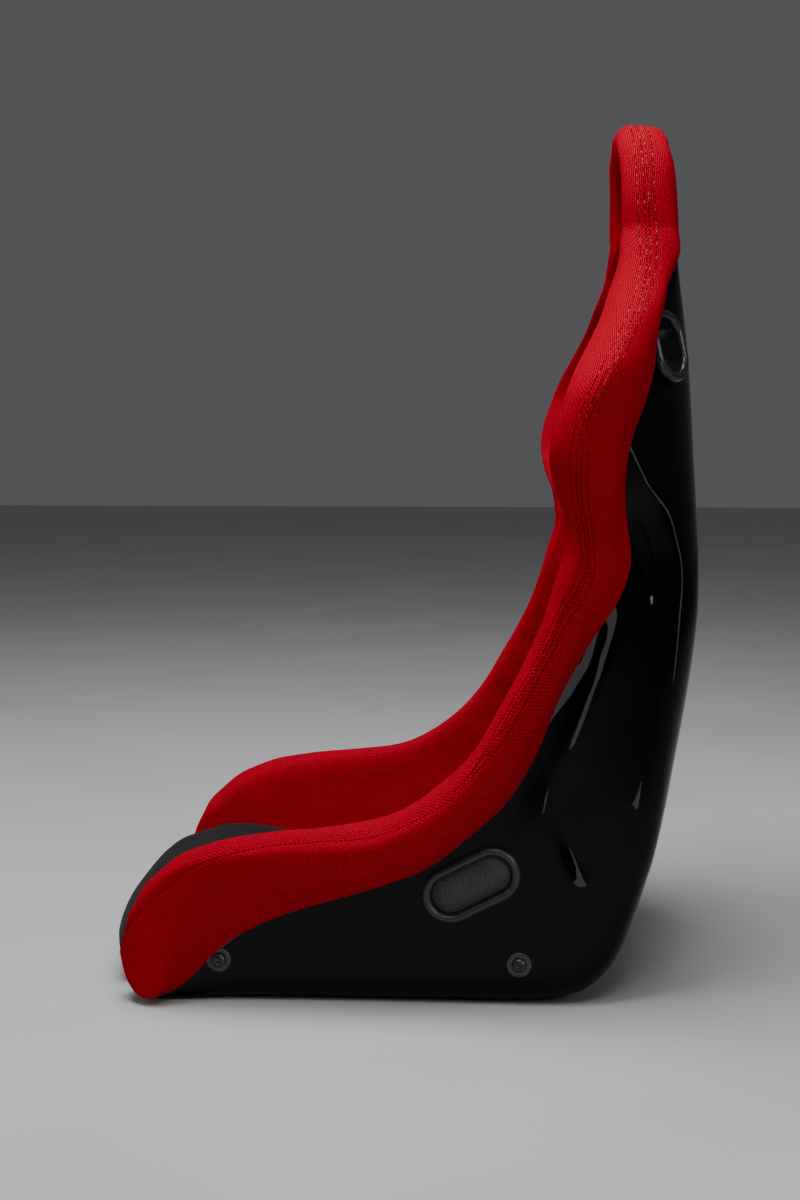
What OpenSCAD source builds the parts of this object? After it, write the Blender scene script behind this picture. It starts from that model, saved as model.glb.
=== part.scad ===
// Fixed-back racing bucket seat: a moulded shell, upholstered side bolsters that run from the
// thigh up and over the headrest, and three pads that lift out.
//
// Frame: X across the seat, the occupant faces -Y, +Z up. The origin is on the flat underside,
// midway between the front and the rear side-mount bolts.
// The seat is a loft. Each station is a flat section that holds the X direction; in it, x runs
// out from the middle and h rises from the outside of the shell towards the occupant.

/* [Overall] */
// Height of the station table, floor to headrest; the cover adds about 22 mm
shell_height = 828; // [690:1:1000]
// Depth of the station table, front lip to the back of the waist
shell_depth = 549; // [456:1:660]
// Half width across the flat side walls
hip_half = 200; // [166:1:240]
// Half width of the shell's rim at the shoulders
shoulder_half = 256; // [214:1:308]
// Half width of the shell's rim at the headrest
head_half = 110; // [92:1:132]

/* [Shell] */
// Thickness of the laminate
shell_wall = 4; // [3:0.1:5]
// Share of the side wall that stays straight before it flares to the rim
straight_share = 0.75; // [0.6:0.01:0.85]

/* [Bolsters] */
// How far the padding stands above the rim
roll_up = 22; // [18:0.5:26]
// How far the padding swells out past the rim
roll_out = 19; // [15:0.5:23]
// How far the padding reaches in from the rim
roll_in = 33; // [27:0.5:40]
// Thickness of the bolster cover
cover_wall = 3; // [2.5:0.1:3.6]
// Room between two soft or moulded pieces
gap = 0.5; // [0.4:0.05:0.7]

/* [Pads] */
// Half width between the feet of the thigh bolsters
lap_half = 156; // [130:1:158]
// Thickness of the lining
lining_wall = 2; // [1.6:0.1:2.4]
// Thickness of a hook strip
hook_wall = 1.6; // [1.3:0.1:2]
// Width of a hook strip
hook_width = 25; // [20:1:30]
// Height of the seat pad's front hump
hump = 93; // [78:1:112]
// Thickness of the seat pad where the occupant sits
seat_pad = 52; // [43:1:63]
// Thickness of the back pad at the lumbar bulge
lumbar = 46; // [38:1:55]
// Thickness of the back pad at the shoulders
back_pad_top = 28; // [23:1:34]
// Thickness of the head pad
head_pad = 22; // [18:1:27]
// Side clearance of a pad
pad_clear = 4; // [3:0.5:5]

/* [Side mounts] */
// Bolt spacing along the seat
mount_pitch = 290; // [242:1:348]
// Height of the bolts above the underside
mount_z = 41; // [40:1:46]
// Diameter of the bolt shank
bolt_d = 8; // [7:0.1:9]
// Diameter of the bolt's button head
head_d = 14; // [12:0.5:17]
// Diameter of a washer
washer_d = 24; // [20:1:29]
// Thickness of a washer
washer_wall = 2; // [1.6:0.1:2.4]
// Thickness of the steel plate inside the side wall
plate_wall = 3; // [2.5:0.1:3.6]
// Height of the steel plate
plate_h = 24; // [20:1:24]
// Diameter of a weld nut
nut_d = 16; // [14:0.5:19]
// Length of a weld nut
nut_l = 8; // [6.5:0.5:9.5]

/* [Lap slots] */
// Straight length of the lap opening
lap_run = 44.5; // [37:0.5:53]
// Radius of the lap opening's ends
lap_r = 18.75; // [15.5:0.25:22.5]
// Width of the lap bezel's ring
lap_ring = 8.7; // [7.2:0.1:10.4]
// Slope of the lap slot, rear end up
lap_tilt = 27; // [20:1:32]

/* [Shoulder slots] */
// Straight length of the shoulder opening
shoulder_run = 18; // [15:0.5:22]
// Radius of the shoulder opening's ends
shoulder_r = 17; // [14:0.5:20]
// Width of the shoulder bezel's ring
shoulder_ring = 9.5; // [8:0.1:11]

/* [Crotch slot] */
// Straight length of the crotch opening
crotch_run = 36; // [30:1:43]
// Radius of the crotch opening's ends
crotch_r = 12; // [10:0.5:14]
// Width of the crotch bezel's flange
crotch_ring = 12; // [10:0.5:14]
// Place of the crotch slot ahead of the origin
crotch_ahead = 75; // [62:1:90]

/* [Hidden] */

ky = shell_depth / 549;
kz = shell_height / 828;
front_half = hip_half - 6;
waist_half = hip_half - 2;

// Stations from the front lip, along the floor and up the back to the headrest.
// Columns: y and z on the middle of the shell, y and z of the rim, half width of the floor or
// back, half width of the rim, corner size, flare (0 upright wall, 1 straight slanted wall),
// height of the cover's hem, half width between the bolster feet, swell out, reach in
STATIONS = [
    [-228, 2, -225, 84, front_half, hip_half + 1, 4, 0, 6, lap_half, 0.9, 0.85],
    [-205, 0, -204, 104, hip_half, hip_half + 3, 5, 0, 8, lap_half, 1, 0.95],
    [-178, 0, -178, 124, hip_half, hip_half + 6, 10, 0, 18, lap_half, 1, 1],
    [-140, 0, -140, 138, hip_half, hip_half + 11, 22, 0, 57, lap_half, 1, 1],
    [-80, 0, -82, 147, hip_half, hip_half + 13, 26, 0, 88, lap_half, 1, 1],
    [0, 0, -6, 153, hip_half, hip_half + 14, 28, 0, 111, lap_half, 1, 1],
    [80, 0, 50, 174, hip_half, hip_half + 14, 28, 0, 136, lap_half, 1, 1],
    [148, 0, 88, 203, hip_half, hip_half + 13, 28, 0, 175, lap_half, 1, 1],
    [198, 5, 112, 232, hip_half, hip_half + 12, 30, 0, 201, lap_half - 2, 1, 1],
    [234, 30, 136, 272, hip_half - 5, hip_half + 11, 34, 0.1, 217, lap_half - 5, 1, 1],
    [257, 78, 162, 322, hip_half - 10, hip_half + 9, 38, 0.3, 224, lap_half - 10, 1, 1],
    [278, 152, 179, 362, hip_half - 16, hip_half + 5, 42, 0.5, 193, lap_half - 15, 1, 1],
    [295, 235, 190, 399, hip_half - 24, waist_half + 2, 44, 0.7, 148, lap_half - 20, 1, 1],
    [310, 317, 202, 430, hip_half - 32, waist_half, 46, 0.9, 106, lap_half - 25, 1, 0.95],
    [318, 392, 203, 459, hip_half - 40, waist_half + 6, 46, 1, 82, lap_half - 31, 1, 0.9],
    [316, 462, 197, 493, hip_half - 50, shoulder_half - 28, 44, 1, 80, lap_half - 38, 1, 0.8],
    [312, 531, 193, 535, hip_half - 60, shoulder_half - 2, 40, 1, 72, lap_half - 46, 1, 0.72],
    [309, 590, 207, 586, hip_half - 72, shoulder_half, 34, 1, 49, lap_half - 54, 1, 0.72],
    [304, 648, 235, 642, hip_half - 88, shoulder_half - 51, 24, 1, 33, lap_half - 66, 1, 0.75],
    [297, 700, 256, 698, head_half - 9, head_half + 30, 12, 1, 15, head_half - 29, 0.9, 0.75],
    [293, 745, 263, 745, head_half - 12, head_half, 9, 1, 11, head_half - 38, 0.8, 0.75]];
LAST = len(STATIONS) - 1;       // the last flat station; past it the sections fan over the head
STEP = 0.5;                     // stations are halved
FAN = 8;                        // sections in the quarter fan over the headrest
crown_rise = 94 * kz;           // from the fan's centre up to the rim
crown_lean = 0.05;              // the headrest leans forward as it rises
crown_power = 2.6;              // how square the headrest's outline is

// ---- smooth curves through the station columns ----
COLS = [for (c = [0:11]) [for (s = STATIONS) s[c]]];
function slope(c, i) = i == 0 ? c[1] - c[0]
    : i == LAST ? c[i] - c[i - 1]
    : let (a = c[i] - c[i - 1], b = c[i + 1] - c[i]) a * b <= 0 ? 0 : 2 * a * b / (a + b);
function ease(c, u) = let (i = max(0, min(floor(u), LAST - 1)), t = u - i, q = 1 - t)
    c[i] * (1 + 2 * t) * q * q + slope(c, i) * t * q * q
    + c[i + 1] * t * t * (3 - 2 * t) - slope(c, i + 1) * t * t * q;
function column(k, u) = ease(COLS[k], min(u, LAST));
function unit(v) = v / norm(v);
function mix(a, b, t) = a + (b - a) * t;
function clamp01(t) = max(0, min(1, t));

// ---- one section ----
function spine(u) = [0, column(0, u) * ky, column(1, u) * kz];
function rim(u) = [0, column(2, u) * ky, column(3, u) * kz];
function rise(u) = unit(rim(u) - spine(u));                 // the h direction
function depth(u) = norm(rim(u) - spine(u));
function fan_angle(u) = 90 * max(0, u - LAST) / (FAN * STEP);
function outward(u) = let (a = fan_angle(u))
    [cos(a), -crown_lean * sin(a), sin(a)];                 // the x direction
function crown(u) = let (a = fan_angle(u), w = head_half)
    1 / pow(pow(abs(cos(a)) / w, crown_power) + pow(sin(a) / crown_rise, crown_power), 1 / crown_power) / w;
function floor_half(u) = column(4, u) * crown(u);
function rim_half(u) = column(5, u) * crown(u);
function corner(u) = column(6, u);
function hem(u) = max(column(8, u) * depth(u) / norm([column(2, u) - column(0, u),
    column(3, u) - column(1, u)]), corner(u) + 2);
function foot_half(u) = column(9, u) * crown(u);
// thickness factors where the section cuts the shell at a slant
function slant_floor(u) = u >= LAST ? 1
    : let (a = unit(spine(u + 0.05) - spine(max(0, u - 0.05)))) min(1.6, 1 / norm(cross(a, rise(u))));
function slant_wall(u) = u >= LAST ? 1
    : let (a = rim(u + 0.05) - rim(max(0, u - 0.05)), b = rim_half(u + 0.05) - rim_half(max(0, u - 0.05)))
        mix(1, norm([1, b / norm(a)]), clamp01(LAST - u));

// half width of the side wall at height h
function wall_half(u, h) = let (hm = straight_share * depth(u), w1 = floor_half(u), w3 = rim_half(u),
        w2 = w1 + column(7, u) * straight_share * (w3 - w1), s = (w2 - w1) / hm, t = (h - hm) / (depth(u) - hm))
    h < hm ? w1 + s * h : w2 + s * (h - hm) + (w3 - w2 - s * (depth(u) - hm)) * t * t;
function bend(u, t) = let (w = floor_half(u), r = corner(u), q = 1 - t)
    q * q * [w - r, 0] + 2 * t * q * [w, 0] + t * t * [wall_half(u, r), r];
// outer contour of half a section: rows 0 to 2 floor, 3 to 5 corner, 6 to 10 wall, hem at row 7
HEM_ROW = 7;
RIM_ROW = 10;
function wall_row(u, h) = [wall_half(u, h), h];
function row(u, k) = let (w = floor_half(u), r = corner(u), e = hem(u), d = depth(u))
    k == 0 ? [0, 0] : k == 1 ? [(w - r) / 2, 0] : k == 2 ? [w - r, 0] : k < 5 ? bend(u, (k - 2) / 3)
    : k == 5 ? wall_row(u, r) : k == 6 ? wall_row(u, (r + e) / 2)
    : wall_row(u, mix(e, d, (k - HEM_ROW) / (RIM_ROW - HEM_ROW)));
// the same contour moved in by d (out where d is negative)
function inset(u, k, d) = let (a = row(u, max(0, k - 1)), b = row(u, min(RIM_ROW, k + 1)), t = unit(b - a))
    k == 0 ? [0, d * slant_floor(u)] : row(u, k) + d * [-t[1] * slant_wall(u), t[0] * slant_floor(u)];
function place(u, p) = spine(u) + p[0] * outward(u) + p[1] * rise(u);
function mirror_x(p) = [-p[0], p[1], p[2]];
function inner_floor(u, d) = shell_wall * slant_floor(u) + d;
// how far the corner has risen at x, along the flat between rows 2 and 3
function corner_climb(u, x) = 0.22 * max(0, x - (floor_half(u) - corner(u)));

US = [for (i = [0:LAST / STEP + FAN]) i * STEP];

// ---- a closed solid between two grids of points ----
// meets: the last row folds onto its own mirror image, so it takes no end face
module between(a, b, meets = false) {
    n = len(a);
    m = len(a[0]);
    pts = concat([for (r = a) each r], [for (r = b) each r]);
    function quad(p, q, r, s) = [[p, q, r], [p, r, s]];
    faces = [
        for (i = [0:n - 2], j = [0:m - 2]) let (p = i * m + j, o = n * m)
            each concat(quad(p, p + 1, p + m + 1, p + m), quad(o + p, o + p + m, o + p + m + 1, o + p + 1)),
        for (i = [0:n - 2], j = [0, m - 1]) let (p = i * m + j, o = n * m)
            each (j == 0 ? quad(p, p + m, o + p + m, o + p) : quad(p, o + p, o + p + m, p + m)),
        for (j = [0:m - 2], i = meets ? [0] : [0, n - 1]) let (p = i * m + j, o = n * m)
            each (i == 0 ? quad(p, o + p, o + p + 1, p + 1) : quad(p, p + 1, o + p + 1, o + p))];
    function real_face(f) = norm(cross(pts[f[1]] - pts[f[0]], pts[f[2]] - pts[f[0]])) > 1e-6;
    polyhedron([for (p = pts) p], [for (f = faces) if (real_face(f)) f]);
}

// ---- ovals ----
module oval(run, r, height) {
    linear_extrude(height) {
        square([run, 2 * r], center = true);
        for (s = [-1, 1])
            translate([s * run / 2, 0])
                circle(r, $fn = 64);
    }
}
// a ring that follows an oval; the child is its cut face, drawn outward from the opening's edge
module oval_ring(run, r) {
    for (s = [0, 1])
        rotate([0, 0, 180 * s]) {
            translate([run / 2, 0, 0])
                rotate([0, 0, -90])
                    rotate_extrude(angle = 180, $fn = 64)
                        translate([r, 0])
                            children();
            translate([-run / 2, r, 0])
                rotate([90, 0, 90])
                    linear_extrude(run)
                        children();
        }
}
// a bezel: a rounded lip of the given width on a sleeve that passes through the wall
module bezel(run, r, ring, lip, sleeve) {
    edge = 2;
    oval_ring(run, r) {
        translate([0, -sleeve])
            square([sleeve_wall, sleeve + 0.01]);
    }
    oval_ring(run, r) {
        difference() {
            union() {
                square([ring, lip - edge]);
                translate([edge, 0])
                    square([ring - 2 * edge, lip]);
                for (x = [edge, ring - edge])
                    translate([x, lip - edge])
                        circle(edge, $fn = 32);
            }
            translate([-edge, -edge])
                square([ring + 2 * edge, edge]);
        }
    }
}

// ---- places that the slots share ----
lap_y = 99 * ky;
lap_z = 119 * kz;
module at_lap(side) {
    mirror([side < 0 ? 1 : 0, 0, 0])
        translate([hip_half, lap_y, lap_z])
            rotate([lap_tilt, 0, 0])
                rotate([90, 0, 90])
                    children();
}
shoulder_u = 17.7;
shoulder_share = 0.34;          // how far up the wing the slot's middle lies
function wing(u, share) = place(u, wall_row(u, share * depth(u)));
shoulder_rear = wing(shoulder_u, shoulder_share);
shoulder_out = unit(cross(
    wing(shoulder_u + 0.3, shoulder_share) - wing(shoulder_u - 0.3, shoulder_share),
    wing(shoulder_u, shoulder_share + 0.18) - wing(shoulder_u, shoulder_share - 0.18)));
shoulder_up = unit([0, 0, 1] - shoulder_out[2] * shoulder_out);
shoulder_across = cross(shoulder_out, shoulder_up);
// the slot's own frame: X up along the back, Z out of the back of the shell
module at_shoulder(side) {
    u = shoulder_up;
    v = shoulder_across;
    w = shoulder_out;
    c = shoulder_rear;
    mirror([side < 0 ? 1 : 0, 0, 0])
        multmatrix([[u[0], v[0], w[0], c[0]], [u[1], v[1], w[1], c[1]], [u[2], v[2], w[2], c[2]], [0, 0, 0, 1]])
            children();
}
boss_rise = 3.5;
boss_sink = 2.5;
boss_edge = 1.5;
lap_boss = 1.5;
glue_line = 1.1;                // adhesive between the foam and the inside of the wall
bezel_lip = 6;
slot_room = 0.5;
sleeve_wall = 3;
crotch_lip = 3;
lining_top = gap + lining_wall;
hook_top = lining_top + 0.2 + hook_wall;
pad_lift = hook_top + 0.5;
bolt_places = [for (s = [-1, 1], y = [-1, 1]) [s, y * mount_pitch / 2]];
module at_bolt(side, y) {
    translate([side * hip_half, y, mount_z])
        rotate([0, side * 90, 0])
            children();
}

// ---- the bolster's cut face ----
// slot round the rim: outside from the hem up, over the rim, down the inside to the foot
function wall_way(u) = unit(row(u, RIM_ROW) - row(u, HEM_ROW));
function off_rim(u, up, out) = let (w = wall_way(u))
    row(u, RIM_ROW) + up * w + out * [w[1] * slant_wall(u), -w[0]];
function slot_line(u) = let (t = shell_wall + gap + glue_line, w = wall_way(u)) [
    for (k = [HEM_ROW:RIM_ROW - 1]) inset(u, k, -gap),
    inset(u, RIM_ROW, -gap) + gap * w,
    inset(u, RIM_ROW, t) + gap * w,
    for (k = [RIM_ROW - 1:-1:3]) inset(u, k, t),
    let (x = foot_half(u) + cover_wall + gap) [x, inner_floor(u, gap) + corner_climb(u, x)]];
function skin_line(u) = let (o = column(10, u) * roll_out, i = column(11, u) * roll_in,
        foot = [foot_half(u), inner_floor(u, pad_lift)], top = off_rim(u, 8, -i)) [
    inset(u, HEM_ROW, -gap - cover_wall),
    inset(u, HEM_ROW + 1, -0.75 * o),
    inset(u, HEM_ROW + 2, -1.1 * o),
    off_rim(u, 0.36 * roll_up, o),
    off_rim(u, 0.8 * roll_up, 0.6 * o),
    off_rim(u, roll_up, -0.12 * i),
    off_rim(u, 0.8 * roll_up, -0.6 * i),
    top,
    for (s = [0.2:0.2:1.01]) mix(top, foot, s) - [16 * s * (1 - s), 0]];
LINE = len(skin_line(0)) - 1;
// the skin line moved in by d
function under_line(u, d) = let (a = skin_line(u)) [for (k = [0:LINE])
    let (t = unit(a[min(LINE, k + 1)] - a[max(0, k - 1)]))
    k == LINE ? a[k] + [d, 0] : a[k] + d * [-t[1] * slant_wall(u), t[0]]];
// the rounded tip ahead of the first station: the cut face shrinks as it moves forward
TIP = [[0.5, 15], [0.86, 8]];   // share of the cut face, how far forward
function tip_line(a, share) = let (c = off_rim(0, -32, -8)) [for (p = a) mix(c, p, share)];
function bolster_grid(lines) = concat(
    [for (t = TIP) [for (p = tip_line(lines[0], t[0])) place(0, p) - [0, t[1], 0]]],
    [for (i = [0:len(US) - 1]) [for (p = lines[i]) place(US[i], p)]]);
// the right side runs backwards, so that its facets lie along those of the shell
function one_side(side, grid) = side > 0 ? grid
    : [for (r = grid) [for (k = [len(r) - 1:-1:0]) mirror_x(r[k])]];
// a closed solid between two lines of a bolster's cut face
module bolster_part(side, a, b) {
    between(one_side(side, bolster_grid(a)), one_side(side, bolster_grid(b)));
}
function tail(line, from) = [for (k = [from:len(line) - 1]) line[k]];
// how far the padding's front face lies from the back of the shell at the shoulder slot
shoulder_face = let (a = skin_line(shoulder_u)) (shoulder_rear - place(shoulder_u, a[10])) * shoulder_out;
module shoulder_tunnel(side) {
    at_shoulder(side) {
        translate([0, 0, -shoulder_face - 30])
            oval(shoulder_run, shoulder_r + sleeve_wall + slot_room, shoulder_face + 60);
        translate([0, 0, -shoulder_face - 40])
            oval(shoulder_run, shoulder_r + shoulder_ring + slot_room, 40 + slot_room);
        translate([0, 0, -boss_sink - slot_room])
            oval(shoulder_run, shoulder_r + shoulder_ring + boss_edge + slot_room, 30);
    }
}

// ---- the shell ----
function shell_grid(d) = [for (u = US) [for (k = [-RIM_ROW:RIM_ROW])
    let (p = place(u, inset(u, abs(k), d))) k < 0 ? mirror_x(p) : p]];
module shell() {
    color([0.02, 0.02, 0.022])
        difference() {
            union() {
                between(shell_grid(0), shell_grid(shell_wall), meets = true);
                for (s = [-1, 1])
                    at_shoulder(s)
                        translate([0, 0, -boss_sink])
                            oval(shoulder_run, shoulder_r + shoulder_ring + boss_edge, boss_sink + boss_rise);
                for (s = [-1, 1])
                    at_lap(s)
                        translate([0, 0, -boss_sink])
                            oval(lap_run, lap_r + lap_ring + boss_edge, boss_sink + lap_boss);
            }
            for (s = [-1, 1]) {
                at_shoulder(s)
                    translate([0, 0, -20])
                        oval(shoulder_run, shoulder_r + sleeve_wall + slot_room, 40);
                at_lap(s)
                    translate([0, 0, -20])
                        oval(lap_run, lap_r + sleeve_wall + slot_room, 40);
            }
            for (b = bolt_places)
                at_bolt(b[0], b[1])
                    cylinder(d = bolt_d + 1, h = 20, center = true, $fn = 48);
            translate([0, -crotch_ahead, -5])
                oval(crotch_run, crotch_r + sleeve_wall + slot_room, 20);
        }
}

// ---- bolsters: foam round the rim, and the knitted cover over it ----
module bolster_foam(side) {
    color([0.2, 0.2, 0.21])
        difference() {
            bolster_part(side, [for (u = US) tail(under_line(u, cover_wall + 0.3), 1)],
                [for (u = US) tail(slot_line(u), 1)]);
            shoulder_tunnel(side);
            at_lap(side)
                translate([0, 0, -24])
                    oval(lap_run, lap_r + lap_ring + 3, 21);
            translate([side * (hip_half - shell_wall - (plate_wall + nut_l) / 2), 0, mount_z])
                cube([plate_wall + nut_l + 2, mount_pitch + 60, plate_h + 2], center = true);
        }
}
module bolster_cover(side) {
    color([0.72, 0.01, 0.02])
        difference() {
            bolster_part(side, [for (u = US) skin_line(u)],
                [for (u = US) let (a = under_line(u, cover_wall)) concat([slot_line(u)[0]], tail(a, 1))]);
            shoulder_tunnel(side);
            for (y = [-1, 1])
                at_bolt(side, y * mount_pitch / 2)
                    cylinder(d = washer_d + 1, h = 2 * (washer_wall + 0.4), center = true, $fn = 64);
        }
}

// ---- lining and hook strips on the inside of the shell ----
// a strip between two stations, from x = a to x = b times the foot width, d0 to d1 off the shell
module strip(u0, u1, a, b, d0, d1, cuts) {
    us = [for (u = [u0:STEP:u1]) u];
    function line(u, d) = [for (i = [0:cuts]) let (x = mix(a(u), b(u), i / cuts)) place(u, [x, inner_floor(u, d)])];
    between([for (u = us) line(u, d0)], [for (u = us) line(u, d1)]);
}
module inner_lining() {
    edge = function (u) min(foot_half(u) - 2, floor_half(u) - corner(u));
    color([0.05, 0.05, 0.055])
        difference() {
            strip(0.5, LAST, function (u) -edge(u), edge, gap, lining_top, 4);
            translate([0, -crotch_ahead, 0])
                oval(crotch_run, crotch_r + sleeve_wall + slot_room, 20);
        }
}
module hook_pair(u0, u1, middle) {
    color([0.12, 0.12, 0.12])
        for (s = [-1, 1])
            strip(u0, u1, function (u) s * middle - hook_width / 2, function (u) s * middle + hook_width / 2,
                lining_top + 0.2, hook_top, 1);
}
module hook_strips_seat() {
    hook_pair(4, 7, lap_half * 0.6);
}
module hook_strips_back() {
    hook_pair(11, 15, lap_half * 0.4);
}
module hook_strips_head() {
    hook_pair(19.5, 20, head_half * 0.3);
}

// ---- lift-out pads ----
// One cut across a pad: base point, the way it swells, thickness, half width below and above
function pad_cut(base, way, thick, low, high, crown) = [
    [for (i = [-5:5]) let (s = i / 5) base + [low * s, 0, 0] + (abs(i) == 5 ? 3 : 0) * way],
    [for (i = [-5:5]) let (s = i / 5, e = s * s * s * s)
        base + [high * s, 0, 0] + (thick * (1 - crown * e) - (abs(i) == 5 ? 0.12 * thick : 0)) * way]];
module pad(cuts) {
    between([for (c = cuts) c[0]], [for (c = cuts) c[1]]);
}
function pad_base(u) = place(u, [0, inner_floor(u, pad_lift)]);
function pad_half(u) = foot_half(u) - pad_clear;
HUMP_DROP = [[1, 5], [1.5, 0.5], [2, -1], [2.5, 0], [3, 2], [3.5, 7]];   // station, fall from the hump's top
function seat_thick(u) = u <= 3.5 ? hump - lookup(u, HUMP_DROP)
    : let (t = clamp01((u - 3.5) / 2.2)) mix(hump - 7, seat_pad, t * t * (3 - 2 * t));
// the nose hangs over the front lip: base and face, y and z, measured from the lip
NOSE = [[-5, 2, -30, 3], [-5, 9, -42, 19], [-4, 15, -43, 43], [2, 18, -31, 67], [12, 19, -14, 85]];
lip = [STATIONS[0][0] * ky, STATIONS[0][1] * kz];
module seat_cushion() {
    lean = 3;
    nose = [for (n = NOSE) let (b = [0, lip[0] + n[0], lip[1] + n[1]], t = [0, lip[0] + n[2], lip[1] + n[3]])
        pad_cut(b, unit(t - b), norm(t - b), lap_half - pad_clear - 2, lap_half - pad_clear - 2, 0.3)];
    color([0.045, 0.045, 0.05])
        difference() {
            pad(concat(nose, [for (u = [1:0.5:8]) pad_cut(pad_base(u), rise(u), seat_thick(u),
                pad_half(u), pad_half(u) + lean, 0.16)]));
            translate([0, -crotch_ahead, 0])
                oval(crotch_run, crotch_r + crotch_ring + 2, 200);
        }
}
module back_cushion() {
    color([0.045, 0.045, 0.05])
        pad([for (u = [9.5:0.5:17]) let (t = (u - 9.5) / 7.5, e = t < 0.08 || t > 0.95 ? 0.8 : 1)
            pad_cut(pad_base(u), rise(u), e * (mix(lumbar - 8, back_pad_top, t) + 8 * sin(180 * min(1, 1.6 * t))),
                pad_half(u), pad_half(u), 0.18)]);
}
module head_cushion() {
    top = crown_rise * foot_half(LAST) / head_half - pad_clear - 2;
    rows = [-40, -30, 0, 0.55 * top, 0.85 * top, top];
    base = pad_base(LAST);
    up = outward(LAST + FAN * STEP);
    color([0.045, 0.045, 0.05])
        pad([for (z = rows) let (w = (foot_half(LAST) - pad_clear) * (z > 0 ? sqrt(1 - pow(0.8 * z / top, 2)) : 1),
            e = z == -40 || z == top ? 0.75 : 1)
            pad_cut(base + z * up, rise(LAST), e * head_pad, w, w, 0.2)]);
}

// ---- side mounts: steel plate with weld nuts, bolts and washers ----
module side_plate(side) {
    color([0.55, 0.56, 0.58])
        translate([side * (hip_half - shell_wall - 0.3 - plate_wall / 2), 0, mount_z])
            difference() {
                union() {
                    cube([plate_wall, mount_pitch + 50, plate_h], center = true);
                    for (y = [-1, 1])
                        translate([-side * nut_l / 2, y * mount_pitch / 2, 0])
                            rotate([0, 90, 0])
                                cylinder(d = nut_d, h = nut_l + plate_wall, center = true, $fn = 48);
                }
                for (y = [-1, 1])
                    translate([0, y * mount_pitch / 2, 0])
                        rotate([0, 90, 0])
                            cylinder(d = bolt_d + 0.1, h = 40, center = true, $fn = 48);
            }
}
module mount_bolts() {
    head_h = 4.4;
    shank = washer_wall + shell_wall + plate_wall + nut_l - 1;
    socket = 5;
    color([0.03, 0.03, 0.03])
        for (b = bolt_places)
            at_bolt(b[0], b[1])
                translate([0, 0, washer_wall])
                    difference() {
                        union() {
                            translate([0, 0, -shank])
                                cylinder(d = bolt_d, h = shank + 0.1, $fn = 48);
                            cylinder(d = head_d, h = head_h * 0.4, $fn = 48);
                            translate([0, 0, head_h * 0.4])
                                cylinder(d1 = head_d, d2 = head_d * 0.62, h = head_h * 0.6, $fn = 48);
                        }
                        translate([0, 0, head_h - 2.6])
                            cylinder(d = socket / cos(30), h = 5, $fn = 6);
                    }
}
module mount_washers() {
    color([0.03, 0.03, 0.03])
        for (b = bolt_places)
            at_bolt(b[0], b[1])
                difference() {
                    cylinder(d = washer_d, h = washer_wall, $fn = 64);
                    translate([0, 0, -1])
                        cylinder(d = bolt_d + 0.4, h = washer_wall + 2, $fn = 48);
                }
}

// ---- harness slots ----
module lap_bezel(side) {
    color([0.04, 0.04, 0.042])
        at_lap(side)
            translate([0, 0, lap_boss])
                bezel(lap_run, lap_r, lap_ring, bezel_lip, lap_boss + shell_wall + 8);
}
module lap_retainer(side) {
    retainer_wall = 3;
    color([0.05, 0.05, 0.05])
        at_lap(side)
            translate([0, 0, -shell_wall - gap - retainer_wall])
                difference() {
                    oval(lap_run, lap_r + lap_ring + 2, retainer_wall);
                    translate([0, 0, -1])
                        oval(lap_run, lap_r + sleeve_wall + 0.1, retainer_wall + 2);
                }
}
module lap_pad(side) {
    base_wall = 3;
    face_rise = 3.5;
    color([0.08, 0.08, 0.085])
        at_lap(side) {
            translate([0, 0, -shell_wall - 8 - gap - base_wall])
                oval(lap_run, lap_r + lap_ring, base_wall);
            translate([0, 0, -shell_wall - 8 - gap - 0.1])
                oval(lap_run, lap_r - gap, shell_wall + 8 + gap + face_rise);
        }
}
module shoulder_bezel_rear(side) {
    color([0.03, 0.03, 0.03])
        at_shoulder(side)
            translate([0, 0, boss_rise])
                bezel(shoulder_run, shoulder_r, shoulder_ring, bezel_lip, boss_rise + shoulder_face / 2 - 1);
}
module shoulder_bezel_front(side) {
    color([0.03, 0.03, 0.03])
        at_shoulder(side)
            translate([0, 0, -shoulder_face])
                rotate([180, 0, 0])
                    bezel(shoulder_run, shoulder_r, shoulder_ring, bezel_lip, shoulder_face / 2 - 1);
}
module crotch_bezel() {
    color([0.03, 0.03, 0.03])
        translate([0, -crotch_ahead, shell_wall + lining_top + 0.2])
            bezel(crotch_run, crotch_r, crotch_ring, crotch_lip, shell_wall + lining_top - 0.4);
}

shell();
inner_lining();
side_plate(1);  // side_plate_left
side_plate(-1);  // side_plate_right
mount_bolts();
mount_washers();
bolster_foam(1);  // bolster_foam_left
bolster_foam(-1);  // bolster_foam_right
bolster_cover(1);  // bolster_cover_left
bolster_cover(-1);  // bolster_cover_right
lap_bezel(1);  // lap_bezel_left
lap_bezel(-1);  // lap_bezel_right
lap_retainer(1);  // lap_retainer_left
lap_retainer(-1);  // lap_retainer_right
lap_pad(1);  // lap_pad_left
lap_pad(-1);  // lap_pad_right
shoulder_bezel_rear(1);  // shoulder_bezel_rear_left
shoulder_bezel_rear(-1);  // shoulder_bezel_rear_right
shoulder_bezel_front(1);  // shoulder_bezel_front_left
shoulder_bezel_front(-1);  // shoulder_bezel_front_right
crotch_bezel();
hook_strips_seat();
hook_strips_back();
hook_strips_head();
seat_cushion();
back_cushion();
head_cushion();
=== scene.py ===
import math

import bmesh
import bpy
import numpy as np
from mathutils import Matrix, Vector
from mathutils.bvhtree import BVHTree


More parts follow.
